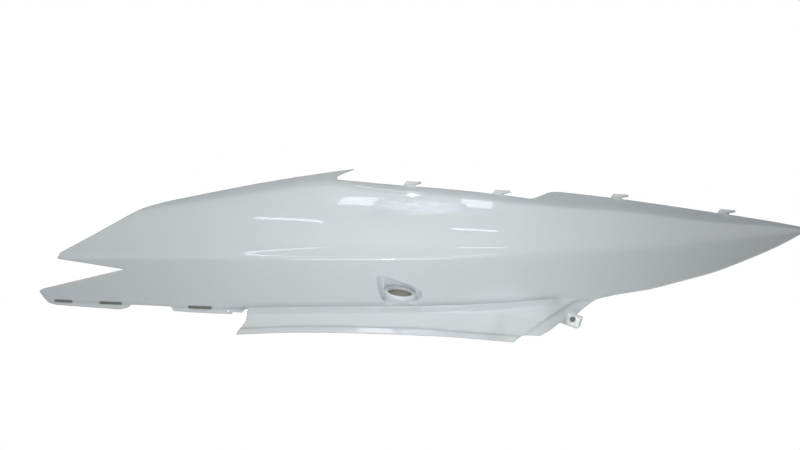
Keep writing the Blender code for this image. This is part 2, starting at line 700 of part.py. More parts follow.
def pocket_grid(step):
    """A finer grid on the pocket's shelf and front."""
    loop = np.array(POCKET_LOOP)
    (left, low), (right, high) = loop.min(axis=0), loop.max(axis=0)
    points = [(s, z) for z in np.arange(low, high, step) for s in np.arange(left, right, step)]
    points = np.array(points)
    return points[inside_loop(points, POCKET_LOOP)]


def triangulated(loops, lines, step):
    """Triangles that fill the outline, keep its holes open and follow the folds."""
    starts, ends = loop_segments(loops)
    points, edges = [], []
    for loop in loops:
        first = len(points)
        points += [tuple(point[:2]) for point in loop]
        edges += [(first + i, first + (i + 1) % len(loop)) for i in range(len(loop))]
    for line in lines:
        line = np.array(line)
        clear = segment_distance(line, starts, ends) > RIM_CLEARANCE
        clear &= inside_panel(line, loops)
        previous = None
        for point, free in zip(line, clear):
            if free:
                points.append(tuple(point))
                if previous is not None:
                    edges.append((previous, len(points) - 1))
            previous = len(points) - 1 if free else None
    line_starts = np.concatenate([np.array(line[:-1]) for line in lines] + [starts])
    line_ends = np.concatenate([np.array(line[1:]) for line in lines] + [ends])
    face = face_rows(step)
    face = face[~inside_loop(face, POCKET_LOOP)]
    for grid, clearance in ((face, GRID_CLEARANCE), (spare_grid(step), GRID_CLEARANCE),
                            (pocket_grid(step / 3), POCKET_CLEARANCE)):
        grid = grid[inside_panel(grid, loops)]
        distance = segment_distance(grid, line_starts, line_ends)
        points += [tuple(point) for point in grid[distance > step * clearance]]
    flat, _, faces, _, _, _ = delaunay_2d_cdt([Vector(p) for p in points], edges, [], 1, 1e-5)
    flat = np.array([tuple(v) for v in flat])
    faces = np.array([list(face) for face in faces])
    middles = flat[faces].mean(axis=1)
    keep = np.ones(len(faces), bool)
    for hole in loops[1:]:
        keep &= ~inside_loop(middles, hole)
    return flat, faces[keep]


def skin(loops, lines, depth, step, exact):
    """One skin of the wall: its points in space, its triangles and its rim loops."""
    flat, faces = triangulated(loops, lines, step)
    deep = depth(flat[:, 0], flat[:, 1])
    points = np.stack([flat[:, 0], deep, flat[:, 1]], axis=1)
    rims, first = [], 0
    for loop in loops:
        rims.append(list(range(first, first + len(loop))))
        first += len(loop)
    for index, spot in zip(rims[-1], exact):
        points[index] = spot
    return points, faces, rims


def panel_mesh():
    """Both skins, joined along the outline and round every opening."""
    rim = outline(EDGE_STEP)
    outer_bore, inner_bore = bore_loop(0.0, BORE_TURNS), bore_loop(WALL, BORE_TURNS)
    holes = plain_holes(HOLE_TURNS)
    outer_loops = [rim] + holes + [[(p[0], p[2]) for p in outer_bore]]
    inner_loops = [rim] + holes + [[(p[0], p[2]) for p in inner_bore]]
    outer = skin(outer_loops, fold_lines(MESH_STEP, False), outer_depth, MESH_STEP, outer_bore)
    inner = skin(inner_loops, fold_lines(MESH_STEP, True), inner_depth, MESH_STEP, inner_bore)
    shift = len(outer[0])
    points = np.concatenate([outer[0], inner[0]])
    faces = [tuple(face) for face in outer[1]]
    faces += [tuple(int(i) + shift for i in reversed(face)) for face in inner[1]]
    for outside, within in zip(outer[2], inner[2]):
        count = len(outside)
        for i in range(count):
            j = (i + 1) % count
            faces.append((outside[i], outside[j], within[j] + shift, within[i] + shift))
    return points, faces


def seat_point():
    """Where the panel is held: the inner face of the screw tab, beside the hole."""
    return SCREW_STATION, tab_depth() + WALL, SCREW_LEVEL - SEAT_BELOW_SCREW


def paint():
    """Pearl white gloss paint."""
    material = bpy.data.materials.new("pearl_white_paint")
    material.use_nodes = True
    shader = material.node_tree.nodes["Principled BSDF"]
    shader.inputs["Base Color"].default_value = (0.66, 0.69, 0.70, 1.0)
    shader.inputs["Roughness"].default_value = 0.22
    shader.inputs["Metallic"].default_value = 0.0
    return material


def build_panel():
    """The finished panel, with its origin on the screw tab's seat."""
    points, faces = panel_mesh()
    places = (points - np.array(seat_point())) * MM
    mesh = bpy.data.meshes.new("side_panel")
    mesh.from_pydata([tuple(place) for place in places], [], faces)
    mesh.validate()
    mesh.update()
    mesh.materials.append(paint())
    mesh.shade_smooth()
    mesh.set_sharp_from_angle(angle=math.radians(SHARP_ANGLE))
    panel = bpy.data.objects.new("side_panel", mesh)
    bpy.context.scene.collection.objects.link(panel)
    return panel


for item in list(bpy.data.objects):
    bpy.data.objects.remove(item)
build_panel()
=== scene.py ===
# A scooter's left rear side panel, moulded in one piece and painted pearl white outside.

import math

import bpy
import numpy as np
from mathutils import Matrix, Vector
from mathutils.geometry import delaunay_2d_cdt


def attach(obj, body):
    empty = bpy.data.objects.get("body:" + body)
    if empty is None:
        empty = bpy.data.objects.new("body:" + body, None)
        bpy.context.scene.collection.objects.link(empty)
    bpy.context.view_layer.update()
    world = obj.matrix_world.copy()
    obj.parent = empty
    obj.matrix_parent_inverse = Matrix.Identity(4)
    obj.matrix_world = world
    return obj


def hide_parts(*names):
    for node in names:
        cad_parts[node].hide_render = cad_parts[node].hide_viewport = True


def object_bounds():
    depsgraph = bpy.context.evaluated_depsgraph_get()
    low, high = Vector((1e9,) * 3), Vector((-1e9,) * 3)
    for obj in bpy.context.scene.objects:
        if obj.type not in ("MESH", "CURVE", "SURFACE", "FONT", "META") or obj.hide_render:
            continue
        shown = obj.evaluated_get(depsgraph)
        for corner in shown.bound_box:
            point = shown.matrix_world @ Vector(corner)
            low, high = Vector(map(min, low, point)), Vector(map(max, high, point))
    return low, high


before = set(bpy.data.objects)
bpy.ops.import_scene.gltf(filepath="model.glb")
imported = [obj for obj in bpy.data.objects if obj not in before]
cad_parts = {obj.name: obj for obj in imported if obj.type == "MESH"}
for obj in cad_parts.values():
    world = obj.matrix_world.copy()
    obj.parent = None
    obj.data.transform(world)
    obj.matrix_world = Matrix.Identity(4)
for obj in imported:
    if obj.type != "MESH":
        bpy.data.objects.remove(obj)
cad_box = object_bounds()

# The side panel is one thin ABS moulding with its hooks, flanges, lock pocket and screw tab. It
# is sprayed pearl white outside, left raw behind, and held by hooks, slots and one screw. It is
# drawn in millimetres: stations along it, levels up from the screw hole, and depths inward.

MM = 0.001
WALL = 2.5
MESH_STEP = 2.3
BACK_STEP = 3.6
EDGE_STEP = 2.2
POCKET_STEP = 1.2
RIM_ROUND = 0.7
RIM_RINGS = (0.07, 0.3, 0.7)
FOLD_REACH = 0.8
FOLD_ROWS = (-0.8, -0.27, 0.27, 0.8)
RIM_CLEARANCE = 0.9
GRID_CLEARANCE = 0.35
GRID_ROW_SHARE = 0.87
GRID_MARGIN = 0.4
BORE_TURNS = 96
BORE_ROUND_STEPS = 4
HOLE_TURNS = 10
TIP_TURNS = 12
TAB_FOLD_POINTS = 5
BALL_RINGS = (0.5, 0.8, 0.95, 1.0)
BALL_TURNS = 12
HOOK_ROWS = (-1.0, -0.5, -0.1, 0.3, 0.8, 1.5)
POCKET_ROWS = (0.0, 0.12, 0.28, 0.45, 0.62, 0.8, 1.0)
SHARP_ANGLE = 40.0
RIM_FADE = 3.0

# Depth of the ridge line along the length: the waist bulges and both ends turn inward
PLAN_CURVE = [(0, 32), (80, 20), (169, 9), (274, 2), (358, 0), (431, 2), (526, 10), (610, 26),
              (694, 52), (757, 78), (812, 104)]

# Feature lines of the show face, as (station, level)
CREASE_LINE = [
    (0, 106), (110, 119), (184, 129.4), (229, 136), (271, 141.9), (300, 144.8), (322, 142.8),
    (352, 138.2), (421, 132.8), (475, 127.4), (505, 123.3), (527, 121.5), (549, 118.8), (589, 116.4),
    (631, 113), (696, 105.2), (736, 101.6), (763, 99.6), (790, 96.4), (812, 93.4)]
RIDGE_LINE = [(0, 64.5), (300, 64.5), (463, 66.6), (536, 70.8), (610, 76), (694, 83.4),
              (757, 89.6), (812, 93)]
BASE_LINE = [
    (0, 20.5), (61, 17.6), (95, 16.4), (140, 14), (202, 11.8), (260, 12.4), (379, 13.5), (463, 15.6),
    (506, 18.3), (550, 21.7), (580, 23.6), (610, 27), (639, 31), (673, 39), (706, 48), (732, 57),
    (765, 71), (798, 87), (812, 92)]
LIP_LINE = [(200, -9.8), (243, -8), (277, -6.9), (305, -6.9), (350, -8.2), (400, -9.6),
            (438, -12.4), (482, -15.8), (510, -18)]

# Section of the show face, per millimetre of its height: -1 at the base line, 0 on the
# ridge and 1 at the crease. The plain section takes over where the ridge fades out.
RIDGED_SECTION = [
    (-1.0, 0.20), (-0.75, 0.125), (-0.5, 0.068), (-0.25, 0.026), (-0.08, 0.005), (0.0, 0.0),
    (0.05, 0.011), (0.12, 0.029), (0.26, 0.040), (0.5, 0.062), (0.75, 0.135), (1.0, 0.275)]
PLAIN_SECTION = [(-1.0, 0.20), (-0.5, 0.055), (0.0, 0.0), (0.5, 0.06), (1.0, 0.26)]
RIDGE_FADE_START = 420.0
RIDGE_FADE_LENGTH = 210.0

# Top flange above the crease
FLANGE_SLOPE = 1.6
FLANGE_BLEND = 1.5

# Outline, as (station, level)
FRONT_TOP = [
    (22.2, 70.2), (59.2, 90), (94, 109.4), (101, 113.1), (108.5, 116.5), (117, 119.4), (136.4, 124.5),
    (183.6, 134), (228.8, 142.7), (270.8, 149.7), (311.7, 155.6), (328, 157.8)]
MIDDLE_TOP = [
    (312.8, 146.9), (352.7, 143.2), (379, 140.9), (420.9, 137.6), (475.5, 132), (511, 127.4),
    (518.5, 127), (525, 129.2), (535, 133), (543, 134), (552, 133.4), (579.9, 130.3), (630.9, 123.9),
    (709.5, 112.5), (763, 104.4), (797.9, 98.2), (806, 96.6)]
TAIL_BOTTOM = [(592.6, 23), (610, 26.4), (639.3, 31), (672.9, 39.3), (706.5, 48.2),
               (731.7, 57.1), (765.3, 70.8), (782.1, 78.5), (797.9, 87), (805, 91)]
LIP_BOTTOM = [(207.3, -16), (231.9, -14.8), (269.7, -13.8), (310.7, -14), (362.1, -15.3),
              (400, -16.8), (437.7, -18.9), (481.8, -22.6), (497.9, -24)]
TAIL_TIP_STATION = 811.0
UPPER_PRONG_CORNER = (19.0, 63.8)
NOTCH_STATION = 89.3
NOTCH_LEVEL = 52.6
LOWER_PRONG_TIP = [(4.1, 32.4), (0.6, 30.6), (0, 29.2), (5.7, 21.5), (9.7, 17.4), (17.7, 15.2)]
FRONT_FLANGE_EDGE = [
    (85.3, 10.4), (94, 12.8), (96.5, 15.4), (124.6, 14.3), (138.3, 13.5), (140, 11.9), (140.2, 9.9),
    (142.2, 8.9), (162.3, 7.3), (186.5, 6.1), (202.3, 5.8), (203.8, 7.8), (212.9, 7.2), (216.2, 10.6)]
SKIRT_FRONT_EDGE = [(208.6, -13), (210.5, -9.9), (213.4, -6.9), (217.5, -0.9), (218.4, 5.8),
                    (219.2, 11.2)]
SKIRT_FRONT_LEVEL = 2.0
SKIRT_FRONT_OVERLAP = 1.5
SPIKE_TIP = (331.9, 158.2)
SPIKE_UNDERSIDE = [(327, 155.8), (320.9, 153.7), (313.4, 149.9)]

# Joggled flange under the front half, with its slots, as (station, length), and locating hole
FRONT_JOGGLE = 2.4
FRONT_JOGGLE_HEIGHT = 2.6
FRONT_FLANGE_FLARE = 0.22
SLOTS = [(25.0, 19.0), (75.0, 23.5), (168.8, 25.0)]
SLOT_HEIGHT = 2.6
SLOT_SIDE_POINTS = (0.35, 0.0, -0.35)
LOCATING_HOLE_DIAMETER = 2.2
LOCATING_HOLE_STATION = 198.8
LOCATING_HOLE_BELOW_BASE = 2.9

# Ledge, skirt and flared lip under the rear half
LEDGE_HEIGHT = 6.4
LEDGE_DEPTH = 7.0
LEDGE_FADE_START = 532.0
LEDGE_FADE_LENGTH = 34.0
SKIRT_FLARE = 0.12
SKIRT_FOLD_STATION = 479.5
SKIRT_FOLD_LEVEL = 7.8
SKIRT_FOLD_FALL = 0.19
SKIRT_FOLD_SLOPE = 0.28
SKIRT_FOLD_LENGTH = 25.0
LIP_FLARE = 0.42
LIP_SHADE_REACH = 1.3

# Recessed flange behind the skirt's slanting rear edge, and the screw tab on it
STEP_LINE = [(501.5, -27), (508.4, -17.8), (514, -12.9), (529.1, -2.2), (541, 5.6), (550, 11.3),
             (560.5, 18), (567.4, 20.8), (576.5, 22), (588, 20.6), (604, 16)]
STEP_DEPTH = 3.0
STEP_WIDTH = 2.2
RECESSED_FLANGE_EDGE = [(506.5, -17.2), (509.5, -16.6), (525.4, -17.3), (533.6, -13.1), (537, -10.9),
                        (546.5, -3.4)]
SCREW_STATION = 560.2
SCREW_LEVEL = 0.0
SCREW_HOLE_DIAMETER = 5.2
TAB_CORNERS = [(564.4, -9.8), (568.1, -7.7), (570.9, 3), (564.1, 5.2)]
TAB_REAR_EDGE = [(571.5, 11.6), (580.9, 18.6), (586, 21.4)]
TAB_JOGGLE_TURN = math.radians(13.0)
TAB_JOGGLE_FROM_SCREW = 9.4
TAB_JOGGLE_WIDTH = 3.4
TAB_JOGGLE_DEPTH = 2.6
TAB_TOP_FROM_SCREW = 9.6
TAB_BOTTOM_FROM_SCREW = 8.0
SEAT_BELOW_SCREW = 5.0

# Pocket for the lock, with a round opening on its tilted shelf
POCKET_OUTLINE = [(352.8, 47.6), (362, 46.8), (376, 42), (388, 37.4), (402.5, 33.4),
                  (403.5, 25), (398.5, 16.6), (380, 15.8), (361.5, 15.8), (356.5, 27)]
POCKET_TOP = [(352.8, 47.6), (362, 46.8), (376, 42), (388, 37.4), (403.5, 33)]
POCKET_WALLS = [(352.8, 5), (364, 2.2), (390, 2.2), (403.5, 5)]
BOSS_STATION = 379.0
BOSS_LEVEL = 28.8
BOSS_HALF_LENGTH = 16.5
BOSS_HALF_WIDTH = 8.6
BORE_HALF_LENGTH = 12.8
BORE_HALF_WIDTH = 5.4
BOSS_TILT = math.radians(42.0)
BOSS_ROLL = math.radians(7.0)
BOSS_SETBACK = 0.8
BOSS_LEAN = -0.26
BOSS_EDGE_REACH = 0.9
BOSS_EDGE_ROUND = 1.6

# Hooks along the top edge
HOOK_STATIONS = [382.5, 475.8, 600.2, 713.5]
HOOK_ROOT = 12.2
HOOK_LENGTH = 19.4
HOOK_HEIGHT = 5.4
HOOK_HEEL = 2.8
HOOK_HEEL_HEIGHT = 4.6
HOOK_NOSE = 1.5
HOOK_NOSE_HEIGHT = 3.6
HOOK_MOUTH = 1.4
HOOK_MOUTH_START = 12.8
HOOK_LINE_START = 1.8
HOOK_FOLD_LOW = -0.2
HOOK_FOLD_HIGH = 0.8
HOOK_BACK_LOW = 0.8
HOOK_BACK_HIGH = 1.2
HOOK_SIDE = 3.0

# Lip turned inward along the tail's lower edge
RETURN_WIDTH = 1.6
RETURN_DEPTH = 5.0
RETURN_START_LENGTH = 12.0
RETURN_END_LENGTH = 24.0
RETURN_END_FROM_TIP = 7.2


def smooth_curve(points):
    """A curve through the points, as smooth as a bent spline, straight beyond its ends."""
    x, y = np.array(points, float).T
    gaps = np.diff(x)
    rises = np.diff(y) / gaps
    count = len(x)
    matrix = np.eye(count)
    target = np.zeros(count)
    for i in range(1, count - 1):
        matrix[i, i - 1:i + 2] = [gaps[i - 1], 2 * (gaps[i - 1] + gaps[i]), gaps[i]]
        target[i] = 6 * (rises[i] - rises[i - 1])
    bend = np.linalg.solve(matrix, target)
    start_slope = rises[0] - gaps[0] * bend[1] / 6
    end_slope = rises[-1] + gaps[-1] * bend[-2] / 6

    def value(at):
        at = np.asarray(at, float)
        i = np.clip(np.searchsorted(x, at) - 1, 0, count - 2)
        a, b, gap = x[i + 1] - at, at - x[i], gaps[i]
        inside = (bend[i] * a ** 3 + bend[i + 1] * b ** 3) / (6 * gap)
        inside += (y[i] / gap - bend[i] * gap / 6) * a
        inside += (y[i + 1] / gap - bend[i + 1] * gap / 6) * b
        before = y[0] + start_slope * (at - x[0])
        after = y[-1] + end_slope * (at - x[-1])
        return np.where(at < x[0], before, np.where(at > x[-1], after, inside))

    return value


def ease(value):
    """0 before 0, 1 after 1, with both ends eased."""
    value = np.clip(value, 0.0, 1.0)
    return value * value * (3 - 2 * value)


def soft_above(value, blend):
    """The value where it is above 0, with the turn rounded over the blend."""
    return 0.5 * (value + np.sqrt(value * value + blend * blend)) - 0.5 * blend


def fillet(value):
    """The value where it is above 0 and 0 below, with a small radius at the turn."""
    bent = np.clip(value + FOLD_REACH, 0, 2 * FOLD_REACH) ** 2 / (4 * FOLD_REACH)
    return np.where(value > FOLD_REACH, value, bent)


def rise(distance, width):
    """From 0 to 1 over a width, with a small radius at both folds."""
    return (fillet(distance) - fillet(distance - width)) / width


plan, crease, ridge, base, lip_crease = map(
    smooth_curve, (PLAN_CURVE, CREASE_LINE, RIDGE_LINE, BASE_LINE, LIP_LINE))
ridged_section, plain_section = map(smooth_curve, (RIDGED_SECTION, PLAIN_SECTION))
middle_top, tail_bottom, lip_bottom = map(smooth_curve, (MIDDLE_TOP, TAIL_BOTTOM, LIP_BOTTOM))


def show_face(station, level):
    """Depth of the painted face and of the flange above its crease."""
    top, middle, low = crease(station), ridge(station), base(station)
    upper = np.maximum(top - middle, 1.0)
    lower = np.maximum(middle - low, 1.0)
    height = np.where(level > middle, upper, lower)
    share = np.clip((level - middle) / height, -1.0, 1.0)
    fade = ease((station - RIDGE_FADE_START) / RIDGE_FADE_LENGTH)
    section = ridged_section(share) * (1 - fade) + plain_section(share) * fade
    flange = FLANGE_SLOPE * soft_above(level - top, FLANGE_BLEND)
    return plan(station) + section * height + flange


def front_flange(station, level, depth):
    """Step inward below the base line, in front of the skirt."""
    below = base(station) - level + FRONT_JOGGLE_HEIGHT / 2
    step = FRONT_JOGGLE * rise(below, FRONT_JOGGLE_HEIGHT)
    return depth + step - FRONT_FLANGE_FLARE * fillet(below - FRONT_JOGGLE_HEIGHT)


def skirt(station, level, depth):
    """Ledge outward under the base line, then the skirt and its flared lip."""
    below = base(station) - level
    reach = LEDGE_DEPTH * (1 - ease((station - LEDGE_FADE_START) / LEDGE_FADE_LENGTH))
    depth = depth - reach * rise(below, LEDGE_HEIGHT)
    depth = depth - SKIRT_FLARE * fillet(below - LEDGE_HEIGHT)
    depth = depth - LIP_FLARE * fillet(lip_crease(station) - level)
    fold_level = SKIRT_FOLD_LEVEL - SKIRT_FOLD_FALL * (station - SKIRT_FOLD_STATION)
    start = ease((station - SKIRT_FOLD_STATION) / SKIRT_FOLD_LENGTH + 0.5)
    return depth + SKIRT_FOLD_SLOPE * start * fillet(fold_level - level)


def from_leg(station, level, start, end):
    """Distance from a straight leg, and the side: positive to the right of its direction."""
    along, up = station - start[0], level - start[1]
    dx, dz = end[0] - start[0], end[1] - start[1]
    share = np.clip((along * dx + up * dz) / max(dx * dx + dz * dz, 1e-12), 0, 1)
    return np.hypot(along - share * dx, up - share * dz), np.sign(dz * along - dx * up)


def line_side(line, station, level):
    """Distance from a line of points: positive to the right of its direction."""
    best, side = np.full(np.shape(station), 1e9), 0.0
    for start, end in zip(line[:-1], line[1:]):
        distance, right = from_leg(station, level, start, end)
        side = np.where(distance < best, right, side)
        best = np.minimum(distance, best)
    return best * side


def turned(along, up, angle):
    """A place turned by an angle about the screw hole, from which it is measured."""
    return (along * math.cos(angle) - up * math.sin(angle),
            along * math.sin(angle) + up * math.cos(angle))


def recessed(station, level, depth):
    """Step inward behind the skirt's rear edge, then the flat screw tab."""
    behind = line_side(STEP_LINE, station, level)
    depth = depth + STEP_DEPTH * rise(behind + STEP_WIDTH / 2, STEP_WIDTH)
    past, above = turned(station - SCREW_STATION, level - SCREW_LEVEL, TAB_JOGGLE_TURN)
    on_tab = rise(past + TAB_JOGGLE_FROM_SCREW, TAB_JOGGLE_WIDTH)
    on_tab = on_tab * rise(TAB_TOP_FROM_SCREW - above, TAB_JOGGLE_WIDTH)
    return depth * (1 - on_tab) + tab_depth() * on_tab


def tab_depth():
    """One depth for the whole tab, so that its seat is flat."""
    station = SCREW_STATION - TAB_JOGGLE_FROM_SCREW
    flat = skirt(station, SCREW_LEVEL, show_face(station, SCREW_LEVEL))
    return float(flat) + STEP_DEPTH + TAB_JOGGLE_DEPTH


def boss_axes():
    """The boss's axis, out of the panel, and two directions across it."""
    inward = np.array([0.0, 1.0, 0.0])
    across = np.array([math.cos(BOSS_ROLL), 0.0, -math.sin(BOSS_ROLL)])
    raised = np.array([math.sin(BOSS_ROLL), 0.0, math.cos(BOSS_ROLL)])
    axis = raised * math.sin(BOSS_TILT) - inward * math.cos(BOSS_TILT)
    return axis, across, raised * math.cos(BOSS_TILT) + inward * math.sin(BOSS_TILT)


def boss_depth():
    """Depth of the boss's centre, which sets its near lip just behind the panel's face."""
    near_level = BOSS_LEVEL - BOSS_HALF_WIDTH * math.cos(BOSS_TILT)
    face = float(show_face(BOSS_STATION, near_level))
    return face + BOSS_SETBACK + BOSS_HALF_WIDTH * math.sin(BOSS_TILT)


def shelf_depth(station, level):
    """Depth of the tilted plane in which the boss's oval mouth lies."""
    axis = boss_axes()[0]
    along, up = station - BOSS_STATION, level - BOSS_LEVEL
    return boss_depth() - (axis[0] * along + axis[2] * up) / axis[1]


def pocket_floor(station, level, face):
    """The scoop above the boss, its tilted mouth, and the round front below it."""
    along = station - BOSS_STATION
    share = np.clip(np.abs(along) / BOSS_HALF_LENGTH, 0, 1)
    half = BOSS_HALF_WIDTH * np.sqrt(1 - share ** 2) * math.cos(BOSS_TILT)
    middle = BOSS_LEVEL - math.tan(BOSS_ROLL) * along
    near_level, far_level = middle - half, middle + half
    shelf = shelf_depth(station, level)
    front = shelf_depth(station, near_level) + BOSS_LEAN * (level - near_level)
    floor = front + soft_above(shelf - front, BOSS_EDGE_ROUND)
    top_level = np.interp(station, *zip(*POCKET_TOP))
    sunk = np.clip((top_level - level) / np.maximum(top_level - far_level, 1.0), 0, 1)
    scoop = face + (shelf_depth(station, far_level) - face) * sunk
    return np.where(level > far_level, scoop, floor)


def pocket_wall(station):
    """Width that the pocket's wall takes seen from the side: wide at both ends."""
    return np.interp(station, *zip(*POCKET_WALLS))


def rounded_loop(points, passes):
    """A closed loop with its corners cut off again and again."""
    points = np.array(points)
    for _ in range(passes):
        after = np.roll(points, -1, axis=0)
        cuts = [0.75 * points + 0.25 * after, 0.25 * points + 0.75 * after]
        points = np.stack(cuts, axis=1).reshape(-1, 2)
    return [tuple(point) for point in points]


POCKET_LOOP = rounded_loop(POCKET_OUTLINE, 3)


def pocket(station, level, depth):
    """Sink the pocket into the face."""
    inside = line_side(POCKET_LOOP + POCKET_LOOP[:1], station, level)
    share = rise(inside, pocket_wall(station))
    return depth + (np.maximum(pocket_floor(station, level, depth), depth) - depth) * share


def hook_plane(station, level, depth, low, high, behind):
    """Between two heights above the top edge, turn into the upright plane of each hook."""
    above = level - middle_top(station)
    for start in HOOK_STATIONS:
        middle = start + HOOK_ROOT / 2
        plane = float(show_face(middle, middle_top(middle))) + behind
        near = (station > start - HOOK_SIDE) & (station < start + HOOK_LENGTH + HOOK_SIDE)
        depth = depth + np.where(near, (plane - depth) * rise(above - low, high - low), 0.0)
    return depth


def return_lip(station, level, depth):
    """Turn the tail's lower edge inward."""
    on = ease((station - TAIL_BOTTOM[0][0]) / RETURN_START_LENGTH)
    above = level - tail_bottom(station)
    off = ease((TAIL_TIP_STATION - RETURN_END_FROM_TIP - station) / RETURN_END_LENGTH)
    return depth + RETURN_DEPTH * on * off * rise(RETURN_WIDTH - above, RETURN_WIDTH)


def outer_depth(station, level):
    """Depth of the outer skin anywhere on the panel."""
    station, level = np.asarray(station, float), np.asarray(level, float)
    depth = show_face(station, level)
    front_end = SKIRT_FRONT_EDGE[-1][0] - SKIRT_FRONT_OVERLAP
    front = front_flange(station, level, depth)
    rear = recessed(station, level, skirt(station, level, depth))
    depth = np.where((station < front_end) & (level > SKIRT_FRONT_LEVEL), front, rear)
    depth = pocket(station, level, depth)
    depth = return_lip(station, level, depth)
    return hook_plane(station, level, depth, HOOK_FOLD_LOW, HOOK_FOLD_HIGH, 0.0)


def inner_depth(station, level):
    """Depth of the inner skin: a ball of the wall's thickness rolled behind the outer one."""
    station, level = np.asarray(station, float), np.asarray(level, float)
    deepest = outer_depth(station, level) + WALL
    for share in BALL_RINGS:
        reach = WALL * share
        stand = math.sqrt(max(WALL * WALL - reach * reach, 0.0))
        for turn in range(BALL_TURNS):
            angle = 2 * math.pi * turn / BALL_TURNS
            beside = outer_depth(station + reach * math.cos(angle),
                                 level + reach * math.sin(angle))
            deepest = np.maximum(deepest, beside + stand)
    return hook_plane(station, level, deepest, HOOK_BACK_LOW, HOOK_BACK_HIGH, WALL)


def sampled(curve, start, end, above=0.0, step=EDGE_STEP):
    """Points along a curve or above it, from one station to another, both ends included."""
    count = max(2, int(math.ceil(abs(end - start) / step)) + 1)
    stations = np.linspace(start, end, count)
    return [(float(s), float(z) + above) for s, z in zip(stations, curve(stations))]


def divided(points, step=EDGE_STEP):
    """The same run of points with its long legs divided."""
    result = [points[0]]
    for (ax, az), (bx, bz) in zip(points[:-1], points[1:]):
        legs = max(1, int(math.ceil(math.hypot(bx - ax, bz - az) / step)))
        for leg in range(1, legs + 1):
            share = leg / legs
            result.append((ax + (bx - ax) * share, az + (bz - az) * share))
    return result


def hook_outline(start):
    """One hook, drawn along the edge it stands on."""
    ax, az = start, float(middle_top(start))
    bx, bz = start + HOOK_ROOT, float(middle_top(start + HOOK_ROOT))
    length = math.hypot(bx - ax, bz - az)
    along = ((bx - ax) / length, (bz - az) / length)
    shape = [(0, 0), (HOOK_HEEL, HOOK_HEEL_HEIGHT), (HOOK_LENGTH - HOOK_NOSE, HOOK_HEIGHT),
             (HOOK_LENGTH, HOOK_NOSE_HEIGHT), (HOOK_MOUTH_START, HOOK_MOUTH), (length, 0)]
    return [(ax + t * along[0] - n * along[1], az + t * along[1] + n * along[0])
            for t, n in shape]


def top_edge():
    """The top edge from the spike to the tail, with the hooks on it."""
    points, reached = [], MIDDLE_TOP[0][0]
    for start in HOOK_STATIONS:
        points += sampled(middle_top, reached, start)[:-1]
        points += hook_outline(start)[:-1]
        reached = start + HOOK_ROOT
    return points + sampled(middle_top, reached, MIDDLE_TOP[-1][0])


def tail_tip():
    """The blunt end of the tail, a half round between its two edges."""
    (ax, az), (bx, bz) = MIDDLE_TOP[-1], TAIL_BOTTOM[-1]
    points = []
    for turn in range(1, TIP_TURNS):
        angle = math.pi * turn / TIP_TURNS
        share = 0.5 - 0.5 * math.cos(angle)
        bulge = (TAIL_TIP_STATION - (ax + bx) / 2) * math.sin(angle)
        points.append((ax + (bx - ax) * share + bulge, az + (bz - az) * share))
    return points


def outline():
    """The whole silhouette, clockwise from the lower prong's tip."""
    notch = (NOTCH_STATION, NOTCH_LEVEL)
    points = LOWER_PRONG_TIP[::-1] + divided([LOWER_PRONG_TIP[0], notch, UPPER_PRONG_CORNER])[1:]
    points += divided(FRONT_TOP) + [SPIKE_TIP] + SPIKE_UNDERSIDE + top_edge() + tail_tip()
    points += sampled(tail_bottom, TAIL_BOTTOM[-1][0], TAIL_BOTTOM[0][0])
    points += divided((RECESSED_FLANGE_EDGE + TAB_CORNERS + TAB_REAR_EDGE)[::-1], EDGE_STEP / 2)
    points += sampled(lip_bottom, LIP_BOTTOM[-1][0], LIP_BOTTOM[0][0])
    points += divided(SKIRT_FRONT_EDGE, EDGE_STEP / 2) + divided(FRONT_FLANGE_EDGE[::-1])
    return points + divided([FRONT_FLANGE_EDGE[0], LOWER_PRONG_TIP[-1]])[1:-1]


def round_hole(station, level, radius, turns):
    """A circle seen from the side."""
    return [(station + radius * math.cos(2 * math.pi * i / turns),
             level + radius * math.sin(2 * math.pi * i / turns)) for i in range(turns)]


def slot_outline(middle, length):
    """A round-ended slot that follows the base line."""
    radius, points = SLOT_HEIGHT / 2, []
    for end, first in ((length / 2 - radius, -0.5), (radius - length / 2, 0.5)):
        for i in range(HOLE_TURNS + 1):
            angle = math.pi * (first + i / HOLE_TURNS)
            s = middle + end + radius * math.cos(angle)
            points.append((s, float(base(middle + end)) + radius * math.sin(angle)))
        side = math.copysign(radius, end)
        for share in SLOT_SIDE_POINTS:
            s = middle + share * end / 0.5
            points.append((s, float(base(s)) + side))
    return points


def plain_holes():
    """The openings that run straight through, along the mould's draw."""
    level = float(base(LOCATING_HOLE_STATION)) - LOCATING_HOLE_BELOW_BASE
    return [slot_outline(middle, length) for middle, length in SLOTS] + [
        round_hole(SCREW_STATION, SCREW_LEVEL, SCREW_HOLE_DIAMETER / 2, HOLE_TURNS * 4),
        round_hole(LOCATING_HOLE_STATION, level, LOCATING_HOLE_DIAMETER / 2, HOLE_TURNS * 2)]


def bore_loop(wider, beyond):
    """The oval bore's edge, wider by a distance, at a distance behind the mouth's face."""
    axis, across, back = boss_axes()
    centre = np.array([BOSS_STATION, boss_depth(), BOSS_LEVEL]) - axis * beyond
    turns = 2 * math.pi * np.arange(BORE_TURNS) / BORE_TURNS
    along = np.outer((BORE_HALF_LENGTH + wider) * np.cos(turns), across)
    return centre + along + np.outer((BORE_HALF_WIDTH + wider) * np.sin(turns), back)


def right_of(tangents):
    """Unit directions to the right of directions of travel."""
    normals = np.stack([tangents[:, 1], -tangents[:, 0]], axis=1)
    return normals / np.linalg.norm(normals, axis=1)[:, None]


def grown(loop, distance):
    """A closed loop moved outward by a distance, or inward if negative."""
    points = np.array(loop)
    before, after = np.roll(points, 1, axis=0), np.roll(points, -1, axis=0)
    area = np.sum(points[:, 0] * after[:, 1] - points[:, 1] * after[:, 0])
    return points + right_of(after - before) * np.sign(area) * np.reshape(distance, (-1, 1))


